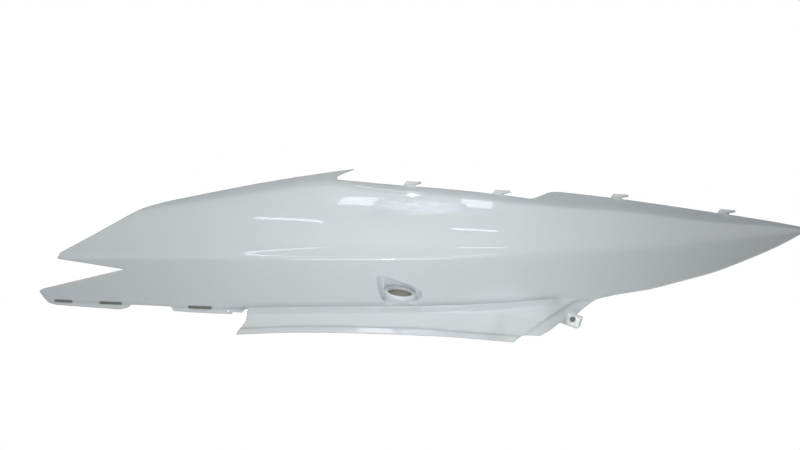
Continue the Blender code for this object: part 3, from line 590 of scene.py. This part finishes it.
def boss_edges():
    """The edge round the boss's tilted mouth, and a line close outside it."""
    turns = 2 * math.pi * np.arange(BORE_TURNS + 1) / BORE_TURNS
    lines = []
    for out in (0.0, BOSS_EDGE_REACH):
        along = (BOSS_HALF_LENGTH + out) * np.cos(turns)
        up = (BOSS_HALF_WIDTH * math.cos(BOSS_TILT) + out) * np.sin(turns)
        levels = BOSS_LEVEL + (up - math.tan(BOSS_ROLL) * along)
        lines.append(list(zip(BOSS_STATION + along, levels)))
    return lines


def tab_fold(past, low, high):
    """A line across the tab, at a distance past the screw hole."""
    heights = np.linspace(low, high, TAB_FOLD_POINTS)
    places = [turned(past, above, -TAB_JOGGLE_TURN) for above in heights]
    return [(SCREW_STATION + along, SCREW_LEVEL + up) for along, up in places]


def beside_line(line, distance):
    """A run of points at a distance beside a line, on the right of its direction."""
    points = np.array(divided(line))
    return [tuple(p) for p in points + right_of(np.gradient(points, axis=0)) * distance]


def fold_lines(behind):
    """Folds and steps that the mesh follows. Behind the wall, the pocket's move outward."""
    first, last = LOWER_PRONG_TIP[2][0], TAIL_TIP_STATION
    skirt_start = SKIRT_FRONT_EDGE[-1][0]
    front_end = skirt_start - SKIRT_FRONT_OVERLAP
    half = FRONT_JOGGLE_HEIGHT / 2
    return_end = last - RETURN_END_FROM_TIP
    fold_end = STEP_LINE[3][0]
    fold_drop = SKIRT_FOLD_FALL * (fold_end - SKIRT_FOLD_STATION)
    folds = [
        sampled(base, first, front_end, half),
        sampled(base, first, front_end, -half),
        sampled(base, skirt_start, LEDGE_FADE_START + LEDGE_FADE_LENGTH),
        sampled(base, skirt_start, STEP_LINE[4][0], -LEDGE_HEIGHT),
        sampled(lip_crease, SKIRT_FRONT_EDGE[0][0], STEP_LINE[1][0]),
        [(SKIRT_FOLD_STATION, SKIRT_FOLD_LEVEL), (fold_end, SKIRT_FOLD_LEVEL - fold_drop)],
        sampled(tail_bottom, STEP_LINE[-1][0], return_end, RETURN_WIDTH),
        beside_line(STEP_LINE, -STEP_WIDTH / 2),
        beside_line(STEP_LINE, STEP_WIDTH / 2),
        tab_fold(-TAB_JOGGLE_FROM_SCREW, -TAB_BOTTOM_FROM_SCREW, TAB_TOP_FROM_SCREW),
        tab_fold(TAB_JOGGLE_WIDTH - TAB_JOGGLE_FROM_SCREW, -TAB_BOTTOM_FROM_SCREW,
                 TAB_TOP_FROM_SCREW - TAB_JOGGLE_WIDTH),
    ]
    lines = [sampled(crease, FRONT_TOP[6][0], last), sampled(ridge, first, last)]
    for fold in folds:
        lines += [beside_line(fold, distance) for distance in FOLD_ROWS]
    for start in HOOK_STATIONS:
        for row in HOOK_ROWS:
            lines.append(sampled(middle_top, start + HOOK_LINE_START,
                                 start + HOOK_ROOT - HOOK_LINE_START, row, EDGE_STEP / 3))
    out = WALL if behind else 0.0
    wide = pocket_wall(np.array(POCKET_LOOP)[:, 0])
    for share in POCKET_ROWS:
        loop = grown(POCKET_LOOP, out + FOLD_REACH - (wide + 2 * FOLD_REACH) * share)
        closed = [tuple(point) for point in loop]
        lines.append(closed + closed[:1])
    if not behind:
        lines += boss_edges()
    return lines


def segment_distance(points, starts, ends):
    """Distance from each point to the nearest of many segments."""
    best = np.full(len(points), 1e9)
    for start, end in zip(starts, ends):
        best = np.minimum(best, from_leg(points[:, 0], points[:, 1], start, end)[0])
    return best


def loop_segments(loops):
    """The start and end of every segment of closed loops."""
    loops = [np.array(loop) for loop in loops]
    return np.concatenate(loops), np.concatenate([np.roll(loop, -1, axis=0) for loop in loops])


def inside_loop(points, loop):
    """Whether each point lies inside a closed loop."""
    inside = np.zeros(len(points), bool)
    x, z = points[:, 0], points[:, 1]
    for (ax, az), (bx, bz) in zip(loop, list(loop[1:]) + [loop[0]]):
        if az == bz:
            continue
        crosses = ((az > z) != (bz > z)) & (x < (bx - ax) * (z - az) / (bz - az) + ax)
        inside ^= crosses
    return inside


def inside_panel(points, loops):
    """Whether each point lies on the panel's material."""
    inside = inside_loop(points, loops[0])
    for hole in loops[1:]:
        inside &= ~inside_loop(points, hole)
    return inside


def face_rows(step):
    """Points in rows between the base line, the ridge and the crease, as a loft has them."""
    points = []
    stations = np.arange(step / 2, TAIL_TIP_STATION, step)
    for low, high in ((base, ridge), (ridge, crease)):
        rows = int(round(np.max(high(stations) - low(stations)) / step))
        for row in range(1, rows):
            at = stations + (step / 4 if row % 2 else -step / 4)
            share = row / rows
            levels = low(at) * (1 - share) + high(at) * share
            points += list(zip(at, levels))
    return np.array(points)


def spare_grid(step):
    """A staggered grid for the flanges above the crease and the skirt below the base line."""
    points = []
    low, high = LIP_BOTTOM[-1][1], SPIKE_TIP[1]
    for i, level in enumerate(np.arange(low, high, step * GRID_ROW_SHARE)):
        shift = step / 2 if i % 2 else 0.0
        points += [(s, level) for s in np.arange(shift, TAIL_TIP_STATION, step)]
    points = np.array(points)
    above = points[:, 1] > crease(points[:, 0]) + step * GRID_MARGIN
    below = points[:, 1] < base(points[:, 0]) - step * GRID_MARGIN
    return points[above | below]


def pocket_grid(step):
    """A finer grid on the pocket's shelf and front."""
    loop = np.array(POCKET_LOOP)
    (left, low), (right, high) = loop.min(axis=0), loop.max(axis=0)
    points = np.array([(s, z) for z in np.arange(low, high, step)
                       for s in np.arange(left, right, step)])
    return points[inside_loop(points, POCKET_LOOP)]


def rim_rings(loops):
    """Points in rings just inside every rim, where its edge is rounded."""
    starts, ends = loop_segments(loops)
    rings = []
    for number, loop in enumerate(loops):
        for distance in RIM_RINGS:
            ring = grown(loop, distance if number else -distance)
            clear = segment_distance(ring, starts, ends) > distance * RIM_CLEARANCE
            rings.append(ring[clear & inside_panel(ring, loops)])
    return np.concatenate(rings)


def triangulated(loops, lines, step, pocket_step):
    """Triangles that fill the outline, keep its holes open and follow the folds."""
    starts, ends = loop_segments(loops)
    points, edges = [], []
    for loop in loops:
        first = len(points)
        points += [tuple(point) for point in loop]
        edges += [(first + i, first + (i + 1) % len(loop)) for i in range(len(loop))]
    for line in lines:
        line = np.array(line)
        clear = segment_distance(line, starts, ends) > RIM_CLEARANCE
        clear &= inside_panel(line, loops)
        previous = None
        for point, free in zip(line, clear):
            if free:
                points.append(tuple(point))
                if previous is not None:
                    edges.append((previous, len(points) - 1))
            previous = len(points) - 1 if free else None
    points += [tuple(point) for point in rim_rings(loops)]
    line_starts = np.concatenate([np.array(line[:-1]) for line in lines] + [starts])
    line_ends = np.concatenate([np.array(line[1:]) for line in lines] + [ends])
    face = face_rows(step)
    face = face[~inside_loop(face, POCKET_LOOP)]
    for grid, size in ((face, step), (spare_grid(step), step), (pocket_grid(pocket_step), pocket_step)):
        grid = grid[inside_panel(grid, loops)]
        distance = segment_distance(grid, line_starts, line_ends)
        points += [tuple(point) for point in grid[distance > size * GRID_CLEARANCE]]
    flat, _, faces, sources, _, _ = delaunay_2d_cdt([Vector(p) for p in points], edges, [], 1, 1e-5)
    place = {origin: index for index, origins in enumerate(sources) for origin in origins}
    flat, faces = np.array(flat), np.array(faces)
    rims, first = [], 0
    for loop in loops:
        rims.append([place[first + i] for i in range(len(loop))])
        first += len(loop)
    return flat, faces[inside_panel(flat[faces].mean(axis=1), loops)], rims


def skin(loops, lines, depth, steps, bore, turn):
    """One skin of the wall, its edges turned in or out at every rim but the bore's."""
    flat, faces, rims = triangulated(loops + [bore[:, [0, 2]]], lines, *steps)
    deep = depth(flat[:, 0], flat[:, 1])
    starts, ends = loop_segments(loops)
    from_rim = segment_distance(flat, starts, ends)
    short = np.clip(RIM_ROUND - from_rim, 0, RIM_ROUND)
    deep = deep + turn * (RIM_ROUND - np.sqrt(RIM_ROUND ** 2 - short ** 2))
    points = np.stack([flat[:, 0], deep, flat[:, 1]], axis=1)
    points[rims[-1]] = bore
    return points, faces, rims, from_rim


def bridged(one, other):
    """Quads between two rims of the same number of points."""
    count = len(one)
    return [(one[i], one[(i + 1) % count], other[(i + 1) % count], other[i]) for i in range(count)]


def panel_mesh():
    """Both skins and the rims between them: points, faces, material numbers and a rim mask."""
    loops = [outline()] + plain_holes()
    front, front_faces, front_rims, front_reach = skin(
        loops, fold_lines(False), outer_depth, (MESH_STEP, POCKET_STEP), bore_loop(RIM_ROUND, 0.0), 1.0)
    back, back_faces, back_rims, back_reach = skin(
        loops, fold_lines(True), inner_depth, (BACK_STEP, BACK_STEP), bore_loop(0.0, WALL), -1.0)
    points, faces, total, last = [front], front_faces.tolist(), len(front), front_rims[-1]
    for turn in range(1, BORE_ROUND_STEPS + 1):
        angle = math.pi / 2 * turn / BORE_ROUND_STEPS
        ring = bore_loop(RIM_ROUND * (1 - math.sin(angle)), RIM_ROUND * (1 - math.cos(angle)))
        following = list(range(total, total + len(ring)))
        faces += bridged(last, following)
        points.append(ring)
        total += len(ring)
        last = following
    for outside, within in zip(front_rims[:-1] + [last], back_rims):
        faces += bridged(outside, [index + total for index in within])
    painted = len(faces)
    faces += (back_faces[:, ::-1] + total).tolist()
    from_rim = np.concatenate([front_reach, np.full(total - len(front), RIM_FADE), back_reach])
    slots = np.arange(len(faces)) >= painted
    return np.concatenate(points + [back]), faces, slots, 1 - np.clip(from_rim / RIM_FADE, 0, 1)


def seat_point():
    """The point that the shared frame is set on: on the tab's flat back, below its hole."""
    return np.array((SCREW_STATION, tab_depth() + WALL, SCREW_LEVEL - SEAT_BELOW_SCREW))


def in_frame(points):
    """Points of the drawing, given as station, depth and level, in the shared frame."""
    return (np.array(points) - seat_point()) * MM


def placed(name, data):
    """A new object in the scene."""
    made = bpy.data.objects.new(name, data)
    bpy.context.scene.collection.objects.link(made)
    return made


def panel_object():
    """The finished shell, on the frame's own origin at the screw tab's seat."""
    points, faces, slots, near_rim = panel_mesh()
    mesh = bpy.data.meshes.new("side_panel_shell")
    mesh.from_pydata(in_frame(points).tolist(), [], faces)
    mesh.polygons.foreach_set("material_index", slots.astype(np.int32))
    # Masks for the paint: one for the line of painted shade along the lip's fold, one for how close
    # each point is to a rim.
    station, level = points[:, 0], points[:, 2]
    on_skirt = (station > SKIRT_FRONT_EDGE[0][0]) & (station < STEP_LINE[1][0]) & (level < 0)
    closeness = np.clip(1 - np.abs(lip_crease(station) - level) / LIP_SHADE_REACH, 0, 1)
    for name, values in (("near_rim", near_rim), ("lip_fold_shade", closeness * on_skirt)):
        mask = mesh.attributes.new(name, "FLOAT", "POINT")
        mask.data.foreach_set("value", values.astype(np.float32))
    mesh.update()
    mesh.shade_smooth()
    mesh.set_sharp_from_angle(angle=math.radians(SHARP_ANGLE))
    return placed("side_panel_shell", mesh)


def feed(node, inputs):
    """Give a node's inputs, by name or number, plain values or the sockets that they follow."""
    for name, value in inputs.items():
        if isinstance(value, bpy.types.NodeSocket):
            node.id_data.links.new(value, node.inputs[name])
        else:
            node.inputs[name].default_value = value


def add_node(tree, kind, inputs=(), operation=None):
    """A node of a kind, with its inputs and, where it calculates, its operation."""
    node = tree.nodes.new(kind)
    if operation:
        node.operation = operation
    feed(node, dict(inputs))
    return node


def own_space(tree):
    """Places in the piece's own space."""
    return add_node(tree, "ShaderNodeTexCoord").outputs["Object"]


def noise(tree, scale, detail, distortion=0.0):
    """Cloudy noise in the piece's own space."""
    return add_node(tree, "ShaderNodeTexNoise", {
        "Vector": own_space(tree), "Scale": scale, "Detail": detail, "Distortion": distortion,
    }).outputs["Fac"]


def grain_group():
    """Fine grain that paint and raw plastic share."""
    group = bpy.data.node_groups.new("fine_grain", "ShaderNodeTree")
    for name, way in (("Size", "INPUT"), ("Height", "OUTPUT")):
        group.interface.new_socket(name, in_out=way, socket_type="NodeSocketFloat")
    given = group.nodes.new("NodeGroupInput")
    add_node(group, "NodeGroupOutput", {
        "Height": noise(group, scale=given.outputs["Size"], detail=3.0)})
    return group


GRAIN = grain_group()


def grain_height(tree, size):
    """The shared grain at a material's own size."""
    grain = tree.nodes.new("ShaderNodeGroup")
    grain.node_tree = GRAIN
    feed(grain, {"Size": size})
    return grain.outputs["Height"]


def new_material(name):
    """A material with its node tree and its shader."""
    material = bpy.data.materials.new(name)
    material.use_nodes = True
    return material, material.node_tree, material.node_tree.nodes["Principled BSDF"]


def bump(tree, height, distance, strength, under=None):
    """The normals of a bump, with its depth in metres, on a smooth face or on another bump."""
    inputs = {"Height": height, "Distance": distance, "Strength": strength}
    if under:
        inputs["Normal"] = under
    return add_node(tree, "ShaderNodeBump", inputs).outputs["Normal"]


def near_place(tree, middle, reach, solid):
    """A mask that is 1 for a share of the reach across and up from a middle, then fades out."""
    apart = add_node(tree, "ShaderNodeVectorMath", {
        0: own_space(tree), 1: (1 / reach[0], 0.0, 1 / reach[1]),
        2: (-middle[0] / reach[0], 0.0, -middle[1] / reach[1])}, "MULTIPLY_ADD")
    away = add_node(tree, "ShaderNodeVectorMath", {0: apart.outputs["Vector"]}, "LENGTH")
    fade = add_node(tree, "ShaderNodeMapRange",
                    {"Value": away.outputs["Value"], "From Min": 1.0, "From Max": solid})
    fade.interpolation_type = "SMOOTHSTEP"
    return fade.outputs["Result"]


def mixed(tree, mask, below, above):
    """One colour over another by a mask. Either may be a plain colour or a socket."""
    mix = add_node(tree, "ShaderNodeMix", {"Factor": mask})
    mix.data_type = "RGBA"
    colours = [number for number, socket in enumerate(mix.inputs) if socket.type == "RGBA"]
    feed(mix, dict(zip(colours, (below, above))))
    return [socket for socket in mix.outputs if socket.type == "RGBA"][0]


def stored(tree, name):
    """What the mesh stores under a name."""
    attribute = tree.nodes.new("ShaderNodeAttribute")
    attribute.attribute_name = name
    return attribute.outputs["Fac"]


PAINT_COLOUR = (0.66, 0.69, 0.70, 1.0)
PAINT_SHADE_COLOUR = (0.60, 0.64, 0.66, 1.0)
# The next colour is painted shade, for a line along the lip's fold and a band at the rims.
FOLD_AND_RIM_SHADE_COLOUR = (0.40, 0.42, 0.43, 1.0)
PRIMER_COLOUR = (0.50, 0.49, 0.46, 1.0)
PRIMER_STATION = 513.0
PRIMER_LEVEL = -24.0
PRIMER_REACH = 9.0
RAW_COLOUR = (0.56, 0.56, 0.54, 1.0)
RAW_SHADE_COLOUR = (0.52, 0.52, 0.50, 1.0)


def pearl_paint():
    """Pearl white with fine flakes under a glossy clear coat with a faint orange peel, with painted
    shade along the lip's fold and at the rims.
    """
    material, tree, shader = new_material("pearl_white_paint")
    flakes = grain_height(tree, 900.0)
    colour = mixed(tree, flakes, PAINT_SHADE_COLOUR, PAINT_COLOUR)
    # Painted shade: a dark line along the lip's fold, and a darker band at the very rims.
    for name, start in (("lip_fold_shade", 0.0), ("near_rim", 0.75)):
        line = add_node(tree, "ShaderNodeMapRange", {"Value": stored(tree, name), "From Min": start})
        colour = mixed(tree, line.outputs["Result"], colour, FOLD_AND_RIM_SHADE_COLOUR)
    across, _, up = in_frame((PRIMER_STATION, 0.0, PRIMER_LEVEL))
    bare = near_place(tree, (across, up), (PRIMER_REACH * MM, PRIMER_REACH * MM), solid=0.5)
    wave = noise(tree, scale=34.0, detail=1.0)
    peel = noise(tree, scale=160.0, detail=1.0)
    waved = bump(tree, wave, distance=0.00010, strength=0.35)
    feed(shader, {"Base Color": mixed(tree, bare, colour, PRIMER_COLOUR), "Roughness": 0.34,
                  "Specular IOR Level": 0.55, "Coat Weight": 1.0, "Coat Roughness": 0.035,
                  "Coat IOR": 1.5, "Normal": bump(tree, flakes, distance=0.00006, strength=0.25),
                  "Coat Normal": bump(tree, peel, distance=0.00003, strength=0.35, under=waved)})
    return material


def raw_plastic():
    """The unpainted back: satin ABS with fine grain, flow shades and overspray at the rims."""
    material, tree, shader = new_material("raw_white_plastic")
    flow = noise(tree, scale=14.0, detail=2.0, distortion=1.2)
    plain = mixed(tree, flow, RAW_SHADE_COLOUR, RAW_COLOUR)
    grain = grain_height(tree, 1400.0)
    feed(shader, {"Base Color": mixed(tree, stored(tree, "near_rim"), plain, PAINT_COLOUR),
                  "Roughness": 0.48, "Normal": bump(tree, grain, distance=0.00012, strength=0.4)})
    return material


shell = panel_object()
shell.data.materials.append(pearl_paint())
shell.data.materials.append(raw_plastic())
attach(shell, "root")
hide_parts("side_panel")

# A plain pale floor lies well below the panel, which hangs clear of it as in a catalogue
# picture. The camera and mirror rays see the room round it as plain white.

FLOOR_DROP = 0.45
FLOOR_REACH = 6.0
FLOOR_COLOUR = (0.9, 0.9, 0.9, 1.0)
ROOM_COLOUR = (0.95, 0.97, 1.0, 1.0)
ROOM_STRENGTH = 0.28


def dull_material(name, colour, roughness):
    """A plain matt material."""
    material, _, shader = new_material(name)
    feed(shader, {"Base Color": colour, "Roughness": roughness})
    return material


def flat_sheet(name, corners, material):
    """A flat four-cornered sheet for the studio."""
    mesh = bpy.data.meshes.new(name)
    mesh.from_pydata(corners, [], [(0, 1, 2, 3)])
    mesh.materials.append(material)
    return placed(name, mesh)


floor_level = cad_box[0][2] - FLOOR_DROP
floor_corners = [(x * FLOOR_REACH, y * FLOOR_REACH, floor_level)
                 for x, y in ((-1, -1), (1, -1), (1, 1), (-1, 1))]
flat_sheet("studio_floor", floor_corners, dull_material("pale_floor", FLOOR_COLOUR, 0.9))

world = bpy.data.worlds.new("pale_room")
bpy.context.scene.world = world
world.use_nodes = True
room = world.node_tree
light = room.nodes["Background"]
feed(light, {"Color": ROOM_COLOUR, "Strength": ROOM_STRENGTH})
white = add_node(room, "ShaderNodeBackground", {"Color": (1.0, 1.0, 1.0, 1.0), "Strength": 1.0})
path = add_node(room, "ShaderNodeLightPath")
seen = path.outputs["Is Camera Ray"]
for ray in ("Is Glossy Ray", "Is Transmission Ray"):
    seen = add_node(room, "ShaderNodeMath", {0: seen, 1: path.outputs[ray]}, "MAXIMUM").outputs[0]
shown = add_node(room, "ShaderNodeMixShader", {0: seen, 1: light.outputs[0], 2: white.outputs[0]})
feed(room.nodes["World Output"], {"Surface": shown.outputs[0]})

# Small dark cards hang close behind the openings as painted shade, standing in for the shadow
# inside the panel, so that these look dark from the front as in the picture. From behind the
# cards are see-through. A dark screen above is seen by gloss alone and keeps the upper edges from
# mirroring the white room.

SHADE_CARD_COLOUR = (0.30, 0.30, 0.27, 1.0)
CARD_BEHIND = 12.0
CARD_SPARE = 1.2
SCREEN_COLOUR = (0.02, 0.02, 0.02, 1.0)

shade_card_material = dull_material("painted_shade_card", SHADE_CARD_COLOUR, 0.9)
card_nodes = shade_card_material.node_tree.nodes
side = add_node(shade_card_material.node_tree, "ShaderNodeNewGeometry")
clear = add_node(shade_card_material.node_tree, "ShaderNodeBsdfTransparent")
one_sided = add_node(shade_card_material.node_tree, "ShaderNodeMixShader", {
    0: side.outputs["Backfacing"], 1: card_nodes["Principled BSDF"].outputs[0], 2: clear.outputs[0]})
feed(card_nodes["Material Output"], {"Surface": one_sided.outputs[0]})


def upright(left, right, depth, low, high):
    """The corners of an upright rectangle that faces the camera."""
    return [(left, depth, low), (right, depth, low), (right, depth, high), (left, depth, high)]


def painted_shade_card(name, station, level, half_length, half_height):
    """A dark card behind an opening, a little larger than it: painted shade for the shadow inside."""
    depth = float(outer_depth(station, level)) + CARD_BEHIND
    across, up = half_length + CARD_SPARE, half_height + CARD_SPARE
    corners = upright(station - across, station + across, depth, level - up, level + up)
    flat_sheet(name, in_frame(corners).tolist(), shade_card_material)


for number, (middle, length) in enumerate(SLOTS, 1):
    painted_shade_card("card_behind_slot_%d" % number, middle, base(middle), length / 2, SLOT_HEIGHT / 2)
painted_shade_card("card_behind_screw_hole", SCREW_STATION, SCREW_LEVEL, SCREW_HOLE_DIAMETER / 2,
          SCREW_HOLE_DIAMETER / 2)
painted_shade_card("card_behind_lock", BOSS_STATION, BOSS_LEVEL, BOSS_HALF_LENGTH, BOSS_HALF_WIDTH)


def stage_for_gloss(sheet):
    """Hide a sheet from the camera, diffuse light and shadows, so that gloss alone sees it."""
    sheet.visible_camera = False
    sheet.visible_diffuse = False
    sheet.visible_shadow = False


stage_for_gloss(flat_sheet("screen_above", [(-1.8, -0.7, 1.9), (1.4, -0.7, 1.9), (1.4, 1.6, 1.6),
                                            (-1.8, 1.6, 1.6)],
                           dull_material("dark_screen", SCREEN_COLOUR, 1.0)))

# Soft studio lamps. Broad ones light the paint evenly, and two narrow ones reach the pocket and
# the skirt's rear end. The clear coat mirrors none of them.

MIDDLE = (-0.16, 0.0, 0.08)
SPOT_BLEND = 0.8
SPOT_SIZE = 0.005


def studio_lamp(name, kind, place, target, power):
    """A lamp turned to a target, seen by neither the camera nor gloss."""
    lamp = bpy.data.lights.new(name, kind)
    lamp.energy = power
    stand = placed(name, lamp)
    stand.location = place
    stand.rotation_euler = (Vector(target) - Vector(place)).to_track_quat("-Z", "Y").to_euler()
    stand.visible_camera = False
    stand.visible_glossy = False
    return lamp


for name, place, target, width, height, power in (
        ("top_fill", (-0.16, -0.4, 1.8), MIDDLE, 1.0, 1.0, 3.67),
        ("left_fill", (-1.9, -1.2, 0.2), MIDDLE, 1.0, 1.0, 3.76),
        ("left_softbox", (-0.45, -0.7, 0.3), MIDDLE, 0.5, 0.5, 0.34),
        ("near_softbox", (-0.16, -0.4, 0.15), MIDDLE, 0.3, 0.2, 0.36),
        ("upper_softbox", (-0.10, -0.35, 0.4), MIDDLE, 0.3, 0.2, 0.43),
        ("upper_left_softbox", (-0.35, -0.4, 0.6), MIDDLE, 0.5, 0.5, 0.52),
        ("back_fill", (-0.16, 1.8, 0.5), MIDDLE, 1.0, 1.0, 10.0),
        ("pocket_softbox", (-0.19, -0.2, -0.35), (-0.181, -0.01, 0.035), 0.15, 0.15, 0.42),
        ("skirt_softbox", (0.05, -0.2, -0.3), (-0.08, -0.02, 0.0), 0.12, 0.12, 0.2)):
    softbox = studio_lamp(name, "AREA", place, target, power)
    softbox.shape = "RECTANGLE"
    softbox.size = width
    softbox.size_y = height
for name, place, target, spread, power in (
        ("pocket_spot", (-0.181, -0.8, 0.08), (-0.181, -0.01, 0.0355), 1.7, 6.0),
        ("skirt_spot", (0.25, -0.5, -0.35), (-0.062, -0.02, -0.003), 7.0, 2.0)):
    spot = studio_lamp(name, "SPOT", place, target, power)
    spot.spot_size = math.radians(spread)
    spot.spot_blend = SPOT_BLEND
    spot.shadow_soft_size = SPOT_SIZE

# Lit sheets that only gloss sees. The windows, the tubes, the mottled patch and the spot above it
# are given by the corners of their images on the panel, as stations and levels, and stand where
# the panel mirrors them to the camera. The others light the ridge's fold and the top edge.

MIRROR_REACH = 1.6
SLOPE_STEP = 1.0
STREAKS = (80.0, 14.0, 14.0)
STREAK_LOW = 0.42
STREAK_HIGH = 0.58
FADE_START = 0.3
WHITE = (1.0, 1.0, 1.0, 1.0)
COOL = (0.90, 0.95, 1.0, 1.0)
BLUISH = (0.75, 0.82, 1.0, 1.0)
PATCH_IMAGE = [(342, 108.5), (458, 111.5), (450, 122.5), (370, 127)]


def mirrored_place(station, level):
    """Where a light stands when the camera sees its image at a place on the panel."""
    stations = station + SLOPE_STEP * np.array([0, -1, 1, 0, 0])
    levels = level + SLOPE_STEP * np.array([0, 0, 0, -1, 1])
    depths = outer_depth(stations, levels)
    along, up = (depths[[2, 4]] - depths[[1, 3]]) / (2 * SLOPE_STEP)
    normal = Vector((along, -1.0, up)).normalized()
    view = Vector((0.0, 1.0, 0.0))
    mirrored = view - 2 * view.dot(normal) * normal
    return Vector(in_frame((station, depths[0], level))) + mirrored * MIRROR_REACH


def lit_material(name, glow, colour, uneven, middle, reach):
    """Light that fades out at a reach across and up from a middle, and is uneven by a share."""
    material, tree, _ = new_material(name)
    tree.nodes.clear()
    stretch = add_node(tree, "ShaderNodeVectorMath", {0: own_space(tree), 1: STREAKS}, "MULTIPLY")
    streaks = add_node(tree, "ShaderNodeTexNoise",
                       {"Vector": stretch.outputs["Vector"], "Scale": 1.0, "Detail": 2.0})
    level = add_node(tree, "ShaderNodeMapRange", {
        "Value": streaks.outputs["Fac"], "From Min": STREAK_LOW, "From Max": STREAK_HIGH,
        "To Min": glow * (1 - uneven), "To Max": glow})
    strength = add_node(tree, "ShaderNodeMath", {0: near_place(tree, middle, reach, FADE_START),
                                                 1: level.outputs["Result"]}, "MULTIPLY")
    light = add_node(tree, "ShaderNodeEmission", {"Color": colour, "Strength": strength.outputs[0]})
    add_node(tree, "ShaderNodeOutputMaterial", {"Surface": light.outputs["Emission"]})
    return material


def lit_sheet(name, corners, glow, colour, uneven=0.1, reach=(2.0, 2.0)):
    """A sheet of light with its corners in the frame."""
    middle = sum(map(Vector, corners), Vector()) / len(corners)
    material = lit_material(name, glow, colour, uneven, (middle.x, middle.z), reach)
    stage_for_gloss(flat_sheet(name, corners, material))


for name, image, *light in (
        ("left_window", [(311, 121), (347, 119.5), (355, 128), (316, 128)], 7.0, COOL),
        ("right_window", [(447, 118), (479, 116), (479, 123.5), (446, 126.5)], 7.0, COOL),
        ("left_tube", [(220, 105), (295, 101), (295, 103), (220, 107)], 9.0, COOL),
        ("right_tube", [(435, 94), (485, 91.4), (485, 93.2), (435, 95.9)], 9.0, COOL),
        ("spot_above", [(388, 130.6), (391.5, 128.3), (404, 130.6), (393.6, 133)], 14.0, WHITE),
        ("mottled_patch", PATCH_IMAGE, 6.0, BLUISH, 0.9, (0.16, 0.5))):
    lit_sheet(name, [mirrored_place(*corner) for corner in image], *light)
lit_sheet("edge_light", [(-0.09, -0.14, 1.61), (-0.04, -0.14, 1.61), (-0.04, 0.11, 1.61),
                         (-0.09, 0.11, 1.61)], 3.0, WHITE)
lit_sheet("fold_strip", upright(-0.45, 0.04, -1.61, -0.07, 0.07), 6.0, WHITE)
lit_sheet("flash", upright(-0.183, -0.151, -1.60, -0.06, 0.07), 60.0, WHITE)

# The camera stands square to the panel and far off, as for a catalogue picture.

CAMERA_DISTANCE = 12.0
PICTURE_WIDTH = 0.840
PICTURE_MIDDLE = (-0.1813, 0.1041)
SENSOR_WIDTH = 36.0
camera_data = bpy.data.cameras.new("catalogue_camera")
camera_data.sensor_width = SENSOR_WIDTH
camera_data.lens = SENSOR_WIDTH * CAMERA_DISTANCE / PICTURE_WIDTH
camera_data.clip_end = 100.0
camera = placed("catalogue_camera", camera_data)
camera.location = (PICTURE_MIDDLE[0], -CAMERA_DISTANCE, PICTURE_MIDDLE[1])
camera.rotation_euler = (math.pi / 2, 0.0, 0.0)
bpy.context.scene.camera = camera
bpy.context.scene.view_settings.view_transform = "Standard"
